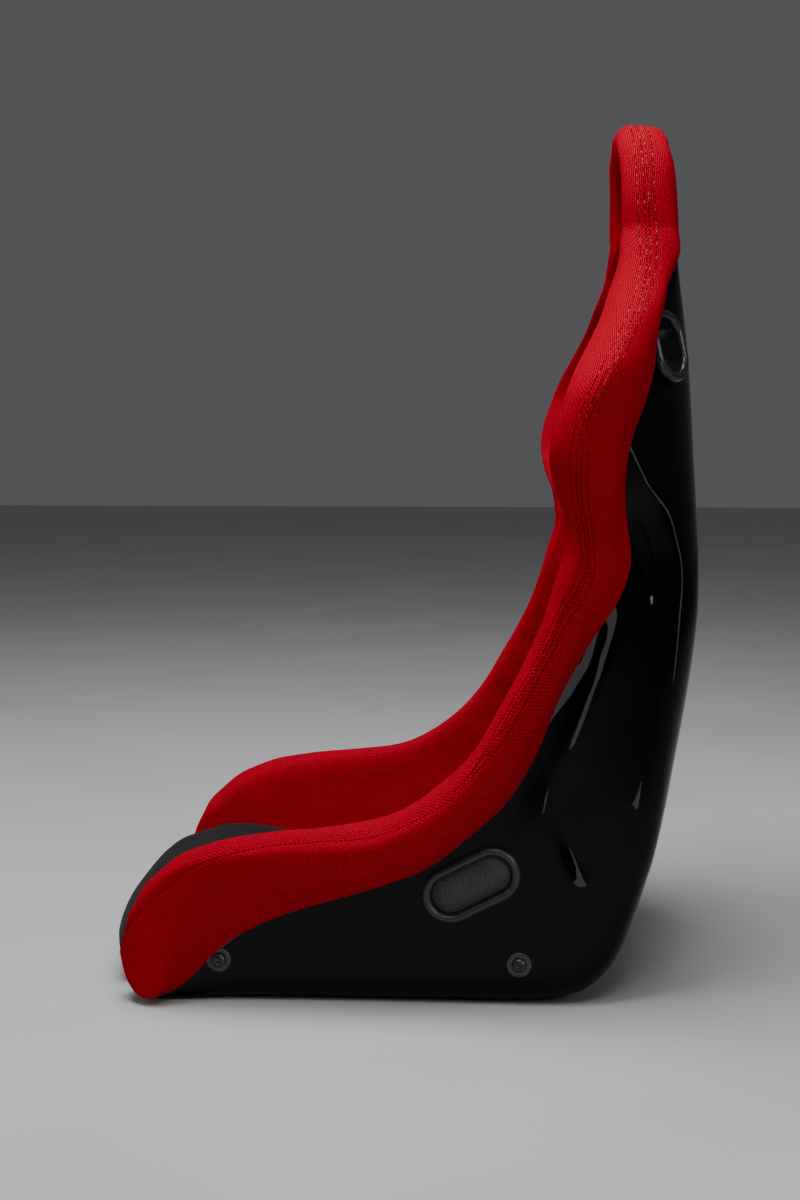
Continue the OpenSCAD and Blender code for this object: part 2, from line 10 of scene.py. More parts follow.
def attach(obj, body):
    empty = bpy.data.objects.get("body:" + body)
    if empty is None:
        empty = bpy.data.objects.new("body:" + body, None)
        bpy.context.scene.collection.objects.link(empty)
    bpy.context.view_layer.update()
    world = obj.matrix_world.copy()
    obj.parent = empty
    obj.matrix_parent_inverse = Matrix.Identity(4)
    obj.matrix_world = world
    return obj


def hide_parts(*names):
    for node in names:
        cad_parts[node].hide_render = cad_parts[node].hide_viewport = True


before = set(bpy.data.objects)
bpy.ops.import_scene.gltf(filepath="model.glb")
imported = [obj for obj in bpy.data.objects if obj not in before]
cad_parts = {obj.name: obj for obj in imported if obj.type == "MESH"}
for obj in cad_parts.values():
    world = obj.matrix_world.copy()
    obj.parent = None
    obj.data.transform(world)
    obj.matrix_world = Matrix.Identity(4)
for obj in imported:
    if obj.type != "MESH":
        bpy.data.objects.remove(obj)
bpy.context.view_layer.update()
MM = 0.001

# ---- Shell ----
# One laminate tub, laid up in a female mould and trimmed round its rim. The gelcoat side faces
# out, so the outside is glossy and gently uneven, with a crease along each hip, a scoop behind
# the waist and a rib up each back edge. It is drilled for four bolts and cut for five slots.

# Stations from the front lip, along the floor and up the back to the headrest, in mm.
# Columns: y and z on the middle of the shell, y and z of the rim, half width of the floor or
# back, half width of the rim, corner, flare, hem height, foot half width, swell out, reach in
STATIONS = np.array([
    [-228, 2, -225, 84, 194, 201, 4, 0, 6, 156, 0.9, 0.85],
    [-205, 0, -204, 104, 200, 203, 5, 0, 8, 156, 1, 0.95],
    [-178, 0, -178, 124, 200, 206, 10, 0, 18, 156, 1, 1],
    [-140, 0, -140, 138, 200, 211, 22, 0, 57, 156, 1, 1],
    [-80, 0, -82, 147, 200, 213, 26, 0, 88, 156, 1, 1],
    [0, 0, -6, 153, 200, 214, 28, 0, 111, 156, 1, 1],
    [80, 0, 50, 174, 200, 214, 28, 0, 136, 156, 1, 1],
    [148, 0, 88, 203, 200, 213, 28, 0, 175, 156, 1, 1],
    [198, 5, 112, 232, 200, 212, 30, 0, 201, 154, 1, 1],
    [234, 30, 136, 272, 195, 211, 34, 0.1, 217, 151, 1, 1],
    [257, 78, 162, 322, 190, 209, 38, 0.3, 224, 146, 1, 1],
    [278, 152, 179, 362, 184, 205, 42, 0.5, 193, 141, 1, 1],
    [295, 235, 190, 399, 176, 200, 44, 0.7, 148, 136, 1, 1],
    [310, 317, 202, 430, 168, 198, 46, 0.9, 106, 131, 1, 0.95],
    [318, 392, 203, 459, 160, 204, 46, 1, 82, 125, 1, 0.9],
    [316, 462, 197, 493, 150, 228, 44, 1, 80, 118, 1, 0.8],
    [312, 531, 193, 535, 140, 254, 40, 1, 72, 110, 1, 0.72],
    [309, 590, 207, 586, 128, 256, 34, 1, 49, 102, 1, 0.72],
    [304, 648, 235, 642, 112, 205, 24, 1, 33, 90, 1, 0.75],
    [297, 700, 256, 698, 101, 140, 12, 1, 15, 81, 0.9, 0.75],
    [293, 745, 263, 745, 98, 110, 9, 1, 11, 72, 0.8, 0.75]])
RATIOS = (7, 10, 11)            # columns that are shares, not lengths
LAST = len(STATIONS) - 1
FAN = 4.0                       # the quarter fan over the headrest counts as four stations
HEAD_HALF = 0.110
CROWN_RISE = 0.094
CROWN_LEAN = 0.05
CROWN_POWER = 2.6
WALL = 0.004
STRAIGHT = 0.75                 # share of the side wall that is straight, below the flare
FINE = np.linspace(0, LAST, 20 * LAST + 1)      # places along the stations, twenty to each
EASE, EASE_REACH = 5, 15        # how far each curve is eased, in those places


def station_curve(k):
    """A column as a smooth curve through the stations, at every fine place."""
    c = STATIONS[:, k] * (1 if k in RATIOS else MM)
    d = np.diff(c)
    a, b = d[:-1], d[1:]
    both = a * b > 0
    s = np.concatenate([d[:1], np.where(both, 2 * a * b / np.where(both, a + b, 1), 0), d[-1:]])
    i = np.minimum(FINE.astype(int), LAST - 1)
    t = FINE - i
    q = 1 - t
    v = c[i] * (1 + 2 * t) * q * q + s[i] * t * q * q + c[i + 1] * t * t * (3 - 2 * t) - s[i + 1] * t * t * q
    kernel = np.exp(-0.5 * (np.arange(-EASE_REACH, EASE_REACH + 1) / EASE) ** 2)
    ends = np.concatenate([2 * v[0] - v[EASE_REACH:0:-1], v, 2 * v[-1] - v[-2:-EASE_REACH - 2:-1]])
    return np.convolve(ends, kernel / kernel.sum(), "valid")


CURVES = [station_curve(k) for k in range(STATIONS.shape[1])]


def column(k, u):
    """The value of column k at u stations from the front lip."""
    return np.interp(u, FINE, CURVES[k])


def unit(v):
    """Vectors made one unit long."""
    return v / np.maximum(np.linalg.norm(v, axis=-1, keepdims=True), 1e-12)


def spine(u):
    """Points on the middle of the shell."""
    return np.stack([0 * u, column(0, u), column(1, u)], -1)


def rim(u):
    """The rim's points, seen on the middle plane."""
    return np.stack([0 * u, column(2, u), column(3, u)], -1)


def rise(u):
    """The way from the middle of the shell to its rim."""
    return unit(rim(u) - spine(u))


def depth(u):
    """How far the rim stands above the middle of the shell."""
    return np.linalg.norm(rim(u) - spine(u), axis=-1)


def outward(u):
    """The sideways way, which fans up and over at the headrest."""
    a = np.radians(90) * np.maximum(0, u - LAST) / FAN
    return np.stack([np.cos(a), -CROWN_LEAN * np.sin(a), np.sin(a)], -1)


def crown(u):
    """Reach of the fan over the headrest, as a share of the headrest's half width."""
    a = np.radians(90) * np.maximum(0, u - LAST) / FAN
    c = np.abs(np.cos(a) / HEAD_HALF) ** CROWN_POWER + (np.sin(a) / CROWN_RISE) ** CROWN_POWER
    return c ** (-1 / CROWN_POWER) / HEAD_HALF


def floor_half(u):
    """Half width of the floor or the back."""
    return column(4, u) * crown(u)


def wall_half(u, h):
    """Half width of the side wall at height h: straight, then flared to the rim."""
    d = depth(u)
    hm = STRAIGHT * d
    w1 = floor_half(u)
    w3 = column(5, u) * crown(u)
    w2 = w1 + column(7, u) * STRAIGHT * (w3 - w1)
    s = (w2 - w1) / hm
    t = np.maximum(0, (h - hm) / (d - hm))
    return np.where(h < hm, w1 + s * h, w2 + s * (h - hm) + (w3 - w2 - s * (d - hm)) * t * t)


def bend(u, t):
    """The rounded corner between floor and wall, t from 0 to 1."""
    w = floor_half(u)
    r = column(6, u)
    q = 1 - t
    x = q * q * (w - r) + 2 * t * q * w + t * t * wall_half(u, r)
    return np.stack([x, t * t * r], -1)


def place(u, p):
    """Points p = (x, h) of the sections at u, in the frame."""
    u = np.broadcast_to(u, p.shape[:-1])
    return spine(u) + p[..., :1] * outward(u) + p[..., 1:] * rise(u)


def smoothstep(a, b, x):
    """An easy rise from 0 at a to 1 at b."""
    t = np.clip((x - a) / (b - a), 0, 1)
    return t * t * (3 - 2 * t)


def grid_normals(g):
    """Unit normals of a grid of points, both ways along it."""
    return unit(np.cross(np.gradient(g, axis=0), np.gradient(g, axis=1)))


def stand(name, data):
    """Puts a new object with this mesh, camera or light into the scene."""
    obj = bpy.data.objects.new(name, data)
    bpy.context.scene.collection.objects.link(obj)
    return obj


def new_piece(name, verts, faces, uv=None, merge=0.00002):
    """A closed mesh object with its doubles merged and its faces turned outwards."""
    mesh = bpy.data.meshes.new(name)
    mesh.from_pydata(np.asarray(verts).reshape(-1, 3).tolist(), [], faces)
    if uv is not None:
        layer = mesh.uv_layers.new(name="UVMap")
        corner = np.empty(len(mesh.loops), int)
        mesh.loops.foreach_get("vertex_index", corner)
        layer.data.foreach_set("uv", np.asarray(uv, float).reshape(-1, 2)[corner].ravel())
    bm = bmesh.new()
    bm.from_mesh(mesh)
    bmesh.ops.remove_doubles(bm, verts=bm.verts, dist=merge)
    bmesh.ops.recalc_face_normals(bm, faces=bm.faces)
    bm.to_mesh(mesh)
    bm.free()
    return stand(name, mesh)


def grid_faces(n, m, start=0, flip=False, wrap=False):
    """Quads over n rows of m points; wrap joins the last point of a row to its first."""
    i, j = np.meshgrid(np.arange(n - 1), np.arange(m if wrap else m - 1), indexing="ij")
    k = (j + 1) % m
    quads = np.stack([i * m + j, i * m + k, (i + 1) * m + k, (i + 1) * m + j], -1).reshape(-1, 4) + start
    return (quads[:, ::-1] if flip else quads).tolist()


def between(name, a, b, uv=None, meets=False):
    """A closed solid between two grids; meets leaves the last row's end open, as it folds shut."""
    n, m = a.shape[:2]
    faces = grid_faces(n, m) + grid_faces(n, m, n * m, flip=True)
    o = n * m
    for i in range(n - 1):
        p, q = i * m, i * m + m - 1
        faces += [[p, p + m, o + p + m, o + p], [q, o + q, o + q + m, q + m]]
    for j in range(m - 1):
        faces.append([j, o + j, o + j + 1, j + 1])
        if not meets:
            p = (n - 1) * m + j
            faces.append([p, p + 1, o + p + 1, o + p])
    return new_piece(name, np.stack([a, b]), faces, None if uv is None else np.stack([uv, uv]))


def smooth(obj, angle=40):
    """Smooth shading that keeps edges sharper than the angle."""
    obj.data.shade_smooth()
    obj.data.set_sharp_from_angle(angle=math.radians(angle))
    return obj


def carve(obj, cutter, way="DIFFERENCE"):
    """Cuts one closed mesh out of another, or joins it on, and drops the cutter."""
    cut = obj.modifiers.new("cut", "BOOLEAN")
    cut.object = cutter
    cut.operation = way
    cut.solver = "EXACT"
    settle(obj)
    bpy.data.objects.remove(cutter)
    return obj


def settle(obj):
    """Turns an object's modifiers into its plain mesh."""
    evaluated = obj.evaluated_get(bpy.context.evaluated_depsgraph_get())
    mesh = bpy.data.meshes.new_from_object(evaluated)
    obj.modifiers.clear()
    obj.data = mesh
    return obj


def oval(run, r, count=24):
    """Points and outward normals round a slot: two half circles joined by straight runs."""
    a = np.concatenate([np.linspace(-90, 90, count), np.linspace(90, 270, count)])
    n = np.stack([np.cos(np.radians(a)), np.sin(np.radians(a))], -1)
    side = np.repeat([1, -1], count)[:, None]
    return n * r + side * [run / 2, 0], n


def oval_ring(name, run, r, profile, matrix):
    """A ring round a slot. Profile points are (out from the opening's edge, up)."""
    edge, n = oval(run, r)
    rows = [np.column_stack([edge + n * d, np.full(len(edge), z)]) for d, z in profile]
    count = len(edge)
    verts = np.concatenate(rows + rows[:1])
    obj = new_piece(name, verts, grid_faces(len(rows) + 1, count, wrap=True))
    obj.data.transform(matrix)
    return obj


def oval_block(name, run, r, low, high, matrix):
    """A solid slot-shaped block."""
    edge = oval(run, r)[0]
    count = len(edge)
    verts = [(x, y, z) for z in (low, high) for x, y in edge]
    ends = [list(range(count))[::-1], list(range(count, 2 * count))]
    obj = new_piece(name, verts, grid_faces(2, count, wrap=True) + ends)
    obj.data.transform(matrix)
    return obj


def mirror_if(side):
    """Leaves the left side (1) as it is and mirrors it for the right side (-1)."""
    return Matrix.Diagonal((side, 1, 1, 1))


# where the slots lie: X along the slot, Z out of the shell
LAP_PLACE = Matrix.Translation((0.200, 0.099, 0.119)) @ Matrix.Rotation(math.radians(27), 4, "X") \
    @ Matrix.Rotation(math.radians(90), 4, "Z") @ Matrix.Rotation(math.radians(90), 4, "X")
SHOULDER_PLACE = Matrix((
    (-0.145755, 0.799765, 0.58235, 0.153198),
    (-0.194181, -0.600313, 0.775833, 0.278807),
    (0.970077, 0, 0.242798, 0.629035),
    (0, 0, 0, 1)))
LAP_RUN, LAP_R, LAP_RING = 0.0445, 0.01875, 0.0087
SHOULDER_RUN, SHOULDER_R, SHOULDER_RING = 0.018, 0.017, 0.0095
CROTCH_RUN, CROTCH_R, CROTCH_RING, CROTCH_Y = 0.036, 0.012, 0.012, -0.075
CROTCH_PLACE = Matrix.Translation((0, CROTCH_Y, 0))
SLEEVE = 0.0035                 # the sleeve's wall and the room round it
BOSS_RISE, LAP_BOSS = 0.0035, 0.0015            # raised flats that the shoulder and lap bezels sit on
BOSS_EDGE, BOSS_ROOT = 0.0015, 0.0025           # the flat shows round the bezel, and is rooted in the wall
SLOT_REACH = 0.02
BOLT_Y, BOLT_Z, BOLT_X = 0.145, 0.041, 0.200
BOLT_HOLE = 0.0045


def shell_surface():
    """The moulded outside, from one rim across the floor to the other."""
    u = np.concatenate([np.linspace(0, LAST, 12 * LAST + 1), LAST + np.linspace(0, FAN, 37)[1:]])[:, None]
    w, r, d = floor_half(u), column(6, u), depth(u)
    flat = np.linspace(0, 1, 11)[:-1] * (w - r)
    wall = r + np.linspace(0, 1, 23) * (d - r)
    half = np.concatenate([
        np.stack([flat, 0 * flat], -1),
        bend(u, np.linspace(0, 1, 9)[:-1] + 0 * w),
        np.stack([wall_half(u + 0 * wall, wall), wall], -1)], 1)
    right = place(u, half)
    left = right * [-1, 1, 1]
    return np.concatenate([left[:, :0:-1], right], 1)


# Lines of the moulding seen from the side, as y and z in mm, with height, reach and ridge width
# (a ridge width of 0 makes a soft hollow)
MOULDED = [
    ([(256, 440), (242, 391), (219, 318), (191, 256), (171, 198), (168, 172), (178, 145), (196, 118)],
     7.0, 34, 4),
    ([(303, 450), (292, 380), (282, 294), (276, 216), (270, 134), (238, 86)], 4.0, 15, 3),
    ([(226, 565), (242, 540), (258, 505), (275, 476), (295, 430), (310, 385)], 4.5, 15, 3),
    ([(240, 500), (256, 470), (266, 435), (268, 400), (262, 370)], -5.5, 15, 0),
    ([(200, 246), (188, 204), (184, 180), (192, 154), (216, 112)], -6.0, 8, 0),
]


def moulded(g):
    """The surface with its creases, scoop and ribs raised along its normals."""
    normals = grid_normals(g)
    middle = g.shape[1] // 2
    floor_row = 40              # a row on the flat floor, where outwards is down
    normals *= np.sign(normals[floor_row, middle] @ [0, 0, -1])
    lift = np.zeros(g.shape[:2])
    yz = g[..., 1:] / MM
    for line, height, width, ridge in MOULDED:
        line = np.array(line, float)
        near = np.full(g.shape[:2], 1e9)
        share = np.zeros(g.shape[:2])
        for i, (a, b) in enumerate(zip(line[:-1], line[1:])):
            t = np.clip(((yz - a) @ (b - a)) / ((b - a) @ (b - a)), 0, 1)
            far = np.linalg.norm(yz - a - t[..., None] * (b - a), axis=-1)
            share = np.where(far < near, (i + t) / (len(line) - 1), share)
            near = np.minimum(near, far)
        ends = smoothstep(0, 0.3, share) * (1 - smoothstep(0.65, 1, share))
        fall = (np.hypot(near, ridge) - ridge) / width if ridge else 0.5 * (near / width) ** 2
        lift += height * MM * ends * np.exp(-fall)
    column_share = np.abs(np.arange(g.shape[1]) - middle) / middle
    side = smoothstep(0.22, 0.34, column_share) * (1 - smoothstep(0.88, 1.0, column_share))
    return g + normals * (lift * side)[..., None], normals


outside, out_way = moulded(shell_surface())
inside = shell_surface() - out_way * WALL
inside[:, :, 0] = np.where(np.abs(outside[:, :, 0]) < 1e-6, 0, inside[:, :, 0])
shell = between("shell_moulding", outside, inside, meets=True)
for side in (1, -1):
    for slot_place, run, r, ring, boss in (
            (SHOULDER_PLACE, SHOULDER_RUN, SHOULDER_R, SHOULDER_RING, BOSS_RISE),
            (LAP_PLACE, LAP_RUN, LAP_R, LAP_RING, LAP_BOSS)):
        at = mirror_if(side) @ slot_place
        carve(shell, oval_block("boss", run, r + ring + BOSS_EDGE, -BOSS_ROOT, boss, at), "UNION")
        carve(shell, oval_block("slot", run, r + SLEEVE, -SLOT_REACH, SLOT_REACH, at))
    for y in (-BOLT_Y, BOLT_Y):
        at = Matrix.Translation((side * BOLT_X, y, BOLT_Z)) @ Matrix.Rotation(math.radians(90), 4, "Y")
        carve(shell, oval_block("hole", 0.0001, BOLT_HOLE, -0.01, 0.01, at))
carve(shell, oval_block("slot", CROTCH_RUN, CROTCH_R + SLEEVE, -0.005, 0.015, CROTCH_PLACE))


def put(tree, kind, inputs=(), **settings):
    """Adds a node. An input takes a value, or the output of another node."""
    node = tree.nodes.new(kind)
    for key, value in settings.items():
        setattr(node, key, value)
    for key, value in dict(inputs).items():
        if isinstance(value, bpy.types.NodeSocket):
            tree.links.new(value, node.inputs[key])
        else:
            node.inputs[key].default_value = value
    return node


def finish(name, **sockets):
    """A new material with plain numbers on its shader, and its tree to add to."""
    made = bpy.data.materials.new(name)
    made.use_nodes = True
    shader = made.node_tree.nodes["Principled BSDF"]
    for key, value in sockets.items():
        shader.inputs[key.replace("_", " ")].default_value = value
    return made, made.node_tree, shader


def noise(tree, scale, detail=4, rough=0.55, stretch=(1, 1, 1)):
    """Noise on the object's own coordinates, one unit of scale to the metre."""
    place_node = put(tree, "ShaderNodeTexCoord")
    mapped = put(tree, "ShaderNodeMapping", {"Vector": place_node.outputs["Object"], "Scale": stretch})
    node = put(tree, "ShaderNodeTexNoise", {
        "Vector": mapped.outputs["Vector"], "Scale": scale, "Detail": detail, "Roughness": rough})
    return node.outputs["Fac"]


def ramp(tree, fac, low, high, dark, light):
    """Fades from one colour or grey to another between two levels."""
    node = put(tree, "ShaderNodeValToRGB", {"Fac": fac})
    for stop, place_at, shade in zip(node.color_ramp.elements, (low, high), (dark, light)):
        stop.position = place_at
        stop.color = (*shade, 1) if len(np.shape(shade)) else (shade, shade, shade, 1)
    return node.outputs["Color"]


def vary(tree, shader, socket, fac, low, high, dark, light):
    """Lets one of a shader's values fade between two levels."""
    tree.links.new(ramp(tree, fac, low, high, dark, light), shader.inputs[socket])


def bump(tree, shader, height, distance, strength=1.0, after=None):
    """Relief of that many metres, on top of another relief if there is one."""
    inputs = {"Height": height, "Distance": distance, "Strength": strength}
    if after is not None:
        inputs["Normal"] = after
    node = put(tree, "ShaderNodeBump", inputs)
    tree.links.new(node.outputs["Normal"], shader.inputs["Normal"])
    return node.outputs["Normal"]


def paint(obj, made):
    """Gives a piece, or a node carried over from the CAD, one material."""
    obj.data.materials.clear()
    obj.data.materials.append(made)
    return obj


gelcoat, tree, shader = finish("black_gelcoat", Roughness=0.12, IOR=1.5, Specular_IOR_Level=0.13)
vary(tree, shader, "Base Color", noise(tree, 9), 0.35, 0.7, (0.0009, 0.0009, 0.001), (0.0018, 0.0017, 0.0016))
scuffs = noise(tree, 260, 6, 0.7, (1, 6, 1))
vary(tree, shader, "Roughness", scuffs, 0.58, 0.85, 0.03, 0.13)
peel = bump(tree, shader, noise(tree, 90, 2), 0.00005, 0.4)
bump(tree, shader, noise(tree, 7, 1), 0.0008, 0.3, peel)
paint(smooth(shell, 32), gelcoat)
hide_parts("shell")
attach(shell, "seat")

# ---- Inner lining, side plates and hook strips ----
# Black felt is glued to the floor and back of the tub so that the pads don't chafe it. A zinc
# plated steel strip with welded nuts lies inside each side wall for the mounting bolts, and
# loops of hook tape hold the three pads.
felt, tree, shader = finish("lining_felt", Roughness=0.95, Sheen_Weight=0.3, Sheen_Roughness=0.5)
vary(tree, shader, "Base Color", noise(tree, 1200, 5, 0.7), 0.3, 0.7, 0.012, 0.035)
bump(tree, shader, noise(tree, 1500, 5, 0.7), 0.0006)
paint(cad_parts["inner_lining"], felt)

plated, tree, shader = finish("plated_steel", Metallic=0.9, Roughness=0.38)
vary(tree, shader, "Base Color", noise(tree, 60, 5, 0.6), 0.3, 0.75, (0.42, 0.42, 0.40), (0.60, 0.61, 0.62))
vary(tree, shader, "Roughness", noise(tree, 300, 4, 0.6, (1, 12, 1)), 0.3, 0.7, 0.3, 0.5)
for name in ("side_plate_left", "side_plate_right"):
    paint(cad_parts[name], plated)

hooks, tree, shader = finish("hook_tape", Roughness=0.7)
vary(tree, shader, "Base Color", noise(tree, 900, 3, 0.6), 0.35, 0.65, 0.01, 0.05)
bump(tree, shader, noise(tree, 1400, 2, 0.5), 0.0011)
for name in ("hook_strips_seat", "hook_strips_back", "hook_strips_head"):
    paint(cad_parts[name], hooks)

# ---- Mounting bolts and washers ----
# Four button-head bolts with a hexagon socket, blackened, each on a flat steel washer. They are
# turned parts: the head is a low dome with a rolled edge, and the washer's rims are broken.
BOLT_HEAD_R, BOLT_HEAD_H, BOLT_SHANK, SOCKET_R, SOCKET_DEEP = 0.007, 0.0044, 0.004, 0.0029, 0.0026
WASHER_R, WASHER_WALL, WASHER_HOLE = 0.012, 0.002, 0.0042


def turned(name, rings, matrix, count=48):
    """A turned part from rings of (radius, height, how hexagonal)."""
    a = np.linspace(0, 2 * np.pi, count, endpoint=False)
    hexagon = np.cos(np.pi / 6) / np.cos((a % (np.pi / 3)) - np.pi / 6)
    rows = []
    for r, z, six in rings:
        reach = r * (1 + six * (hexagon - 1))
        rows.append(np.column_stack([reach * np.cos(a), reach * np.sin(a), np.full(count, z)]))
    ends = [list(range(count))[::-1], list(range((len(rows) - 1) * count, len(rows) * count))]
    obj = new_piece(name, np.concatenate(rows), grid_faces(len(rows), count, wrap=True) + ends)
    obj.data.transform(matrix)
    return obj


def together(name, objs):
    """Joins meshes that are already in place into one piece."""
    bm = bmesh.new()
    for obj in objs:
        bm.from_mesh(obj.data)
        bpy.data.objects.remove(obj)
    mesh = bpy.data.meshes.new(name)
    bm.to_mesh(mesh)
    bm.free()
    return stand(name, mesh)


dome = [(BOLT_HEAD_R - 0.0006, 0, 0), (BOLT_HEAD_R, 0.0005, 0), (BOLT_HEAD_R, 0.0012, 0)] + [
    (BOLT_HEAD_R * math.cos(t) ** 0.75, 0.0012 + (BOLT_HEAD_H - 0.0012) * math.sin(t), 0)
    for t in np.radians([15, 30, 45, 55, 62])]
socket = [(SOCKET_R + 0.0005, BOLT_HEAD_H - 0.0001, 1), (SOCKET_R, BOLT_HEAD_H - 0.0005, 1),
          (SOCKET_R, BOLT_HEAD_H - SOCKET_DEEP, 1), (0.0008, BOLT_HEAD_H - SOCKET_DEEP - 0.0005, 0)]
shank = [(BOLT_SHANK - 0.0008, -0.0155, 0), (BOLT_SHANK, -0.0147, 0), (BOLT_SHANK, 0, 0)]
washer = [(WASHER_HOLE, 0.0003, 0), (WASHER_HOLE + 0.0003, 0, 0), (WASHER_R - 0.0004, 0, 0),
          (WASHER_R, 0.0005, 0), (WASHER_R, 0.0015, 0), (WASHER_R - 0.0005, WASHER_WALL, 0),
          (WASHER_HOLE + 0.0003, WASHER_WALL, 0), (WASHER_HOLE, 0.0017, 0)]
bolts, washers = [], []
for side in (1, -1):
    for y in (-BOLT_Y, BOLT_Y):
        at = Matrix.Translation((side * BOLT_X, y, BOLT_Z)) \
            @ Matrix.Rotation(side * math.radians(90), 4, "Y")
        bolts.append(turned("bolt", shank + dome + socket, at @ Matrix.Translation((0, 0, WASHER_WALL))))
        washers.append(turned("washer", washer, at))
bolts = smooth(together("mounting_bolts", bolts), 30)
washers = smooth(together("mounting_washers", washers), 30)

blacked, tree, shader = finish("blackened_steel", Metallic=1.0, Roughness=0.35)
worn = noise(tree, 700, 5, 0.65)
vary(tree, shader, "Base Color", worn, 0.45, 0.75, (0.03, 0.03, 0.032), (0.16, 0.155, 0.15))
vary(tree, shader, "Roughness", worn, 0.3, 0.7, 0.28, 0.5)
bump(tree, shader, noise(tree, 1800, 3), 0.00008)
paint(bolts, blacked)
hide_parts("mount_bolts")
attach(bolts, "seat")

dull_steel, tree, shader = finish("washer_steel", Metallic=0.9, Roughness=0.42)
worn = noise(tree, 400, 5, 0.65)
vary(tree, shader, "Base Color", worn, 0.35, 0.75, (0.035, 0.035, 0.037), (0.11, 0.108, 0.105))
vary(tree, shader, "Roughness", worn, 0.3, 0.7, 0.34, 0.55)
bump(tree, shader, noise(tree, 1500, 3), 0.00008)
paint(washers, dull_steel)
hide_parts("mount_washers")
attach(washers, "seat")

# ---- Bolster foam ----
# Each side has one long moulded block of grey polyurethane foam that grips the rim of the shell
# from the front of the thigh to the middle of the headrest. It is glued on, then covered.
ROLL_UP, ROLL_OUT, ROLL_IN, COVER_WALL, GAP = 0.022, 0.019, 0.033, 0.003, 0.0005
HEM_ROW, RIM_ROW = 7, 10        # rows of the shell's cut face
NEXT = 0.05                     # part of a station, over which a slope is taken
LINING_TOP = 0.0025             # how thick the felt lining is
PAD_LIFT = 0.0048               # the pads' base above the inside of the shell
SHOULDER_FACE = 0.02564         # from the outside of the shell to the front bezel's flange


def hem(u):
    """Height of the hem up the side wall."""
    yz = np.hypot(column(2, u) - column(0, u), column(3, u) - column(1, u))
    return np.maximum(column(8, u) * depth(u) / yz, column(6, u) + 0.002)


def slant_floor(u):
    """How much a cut lengthens the floor's thickness where the floor slopes."""
    along = unit(spine(u + NEXT) - spine(np.maximum(0, u - NEXT)))
    cut = np.linalg.norm(np.cross(along, rise(u)), axis=-1)
    return np.where(u >= LAST, 1, np.minimum(1.6, 1 / np.maximum(cut, 0.1)))


def slant_wall(u):
    """How much a cut lengthens the wall's thickness where the wall narrows."""
    def rim_half(v):
        """Half width at the rim."""
        return column(5, v) * crown(v)

    back = np.maximum(0, u - NEXT)
    run = np.linalg.norm(rim(u + NEXT) - rim(back), axis=-1)
    lean = np.hypot(1, (rim_half(u + NEXT) - rim_half(back)) / np.maximum(run, 1e-9))
    return np.where(u >= LAST, 1, 1 + (lean - 1) * np.clip(LAST - u, 0, 1))


def row(u, k):
    """Row k of the shell's cut face: floor 0 to 2, corner 3 to 5, wall 6 to 10 with the hem at 7."""
    w, r, e, d = floor_half(u), column(6, u), hem(u), depth(u)
    if k < 3:
        return np.stack([(w - r) * k / 2, 0 * w], -1)
    if k < 5:
        return bend(u, (k - 2) / 3)
    h = r if k == 5 else (r + e) / 2 if k == 6 else e + (d - e) * (k - HEM_ROW) / (RIM_ROW - HEM_ROW)
    return np.stack([wall_half(u, h), h], -1)


def inset(u, k, d):
    """Row k moved in by d, or out where d is negative."""
    t = unit(row(u, min(RIM_ROW, k + 1)) - row(u, max(0, k - 1)))
    return row(u, k) + np.stack([-t[:, 1] * slant_wall(u) * d, t[:, 0] * slant_floor(u) * d], -1)


def off_rim(u, up, out):
    """Points that far above the rim and outside it."""
    w = unit(row(u, RIM_ROW) - row(u, HEM_ROW))
    out = np.broadcast_to(out, u.shape)
    return row(u, RIM_ROW) + up * w + np.stack([w[:, 1] * slant_wall(u) * out, -w[:, 0] * out], -1)


def slot_line(u):
    """The inside of the bolster: round the rim and down to the lining."""
    t = WALL + GAP
    w = unit(row(u, RIM_ROW) - row(u, HEM_ROW)) * GAP
    foot = np.stack([column(9, u) * crown(u) + COVER_WALL + GAP, WALL * slant_floor(u) + GAP], -1)
    return np.stack([inset(u, k, -GAP) for k in range(HEM_ROW, RIM_ROW)]
                    + [inset(u, RIM_ROW, -GAP) + w, inset(u, RIM_ROW, t) + w]
                    + [inset(u, k, t) for k in range(RIM_ROW - 1, 2, -1)] + [foot], 1)


def skin_line(u):
    """The outside of the bolster: up past the rim, over the roll and down to the pad."""
    o, i = column(10, u) * ROLL_OUT, column(11, u) * ROLL_IN
    foot = np.stack([column(9, u) * crown(u), WALL * slant_floor(u) + PAD_LIFT], -1)
    top = off_rim(u, 0.008, -i)
    down = [top + (foot - top) * s - np.array([16 * MM * s * (1 - s), 0]) for s in (0.2, 0.4, 0.6, 0.8, 1)]
    # at the headrest the cover goes on round the back edge; at the front tip it swells right down
    wrap = smoothstep(18.7, 19.6, u)[:, None]
    tip = 1 - smoothstep(0.8, 2.6, u)[:, None]
    first = inset(u, HEM_ROW, -GAP - COVER_WALL) * (1 - wrap) + inset(u, 3, -GAP - COVER_WALL) * wrap
    second = inset(u, HEM_ROW + 1, -0.75 * o) * (1 - wrap) + inset(u, 5, -0.9 * o) * wrap
    third = inset(u, HEM_ROW + 2, -1.1 * o) * (1 - wrap) + inset(u, HEM_ROW + 1, -1.2 * o) * wrap
    first = first + tip * [0.004, -0.0035]
    second = second * (1 - tip) + (inset(u, HEM_ROW, -1.15 * o) + [0, 0.0005]) * tip
    third = third * (1 - tip) + inset(u, HEM_ROW + 1, -1.25 * o) * tip
    return np.stack([
        first, second, third,
        off_rim(u, 0.36 * ROLL_UP, o), off_rim(u, 0.8 * ROLL_UP, 0.6 * o), off_rim(u, ROLL_UP, -0.12 * i),
        off_rim(u, 0.8 * ROLL_UP, -0.6 * i), top] + down, 1)


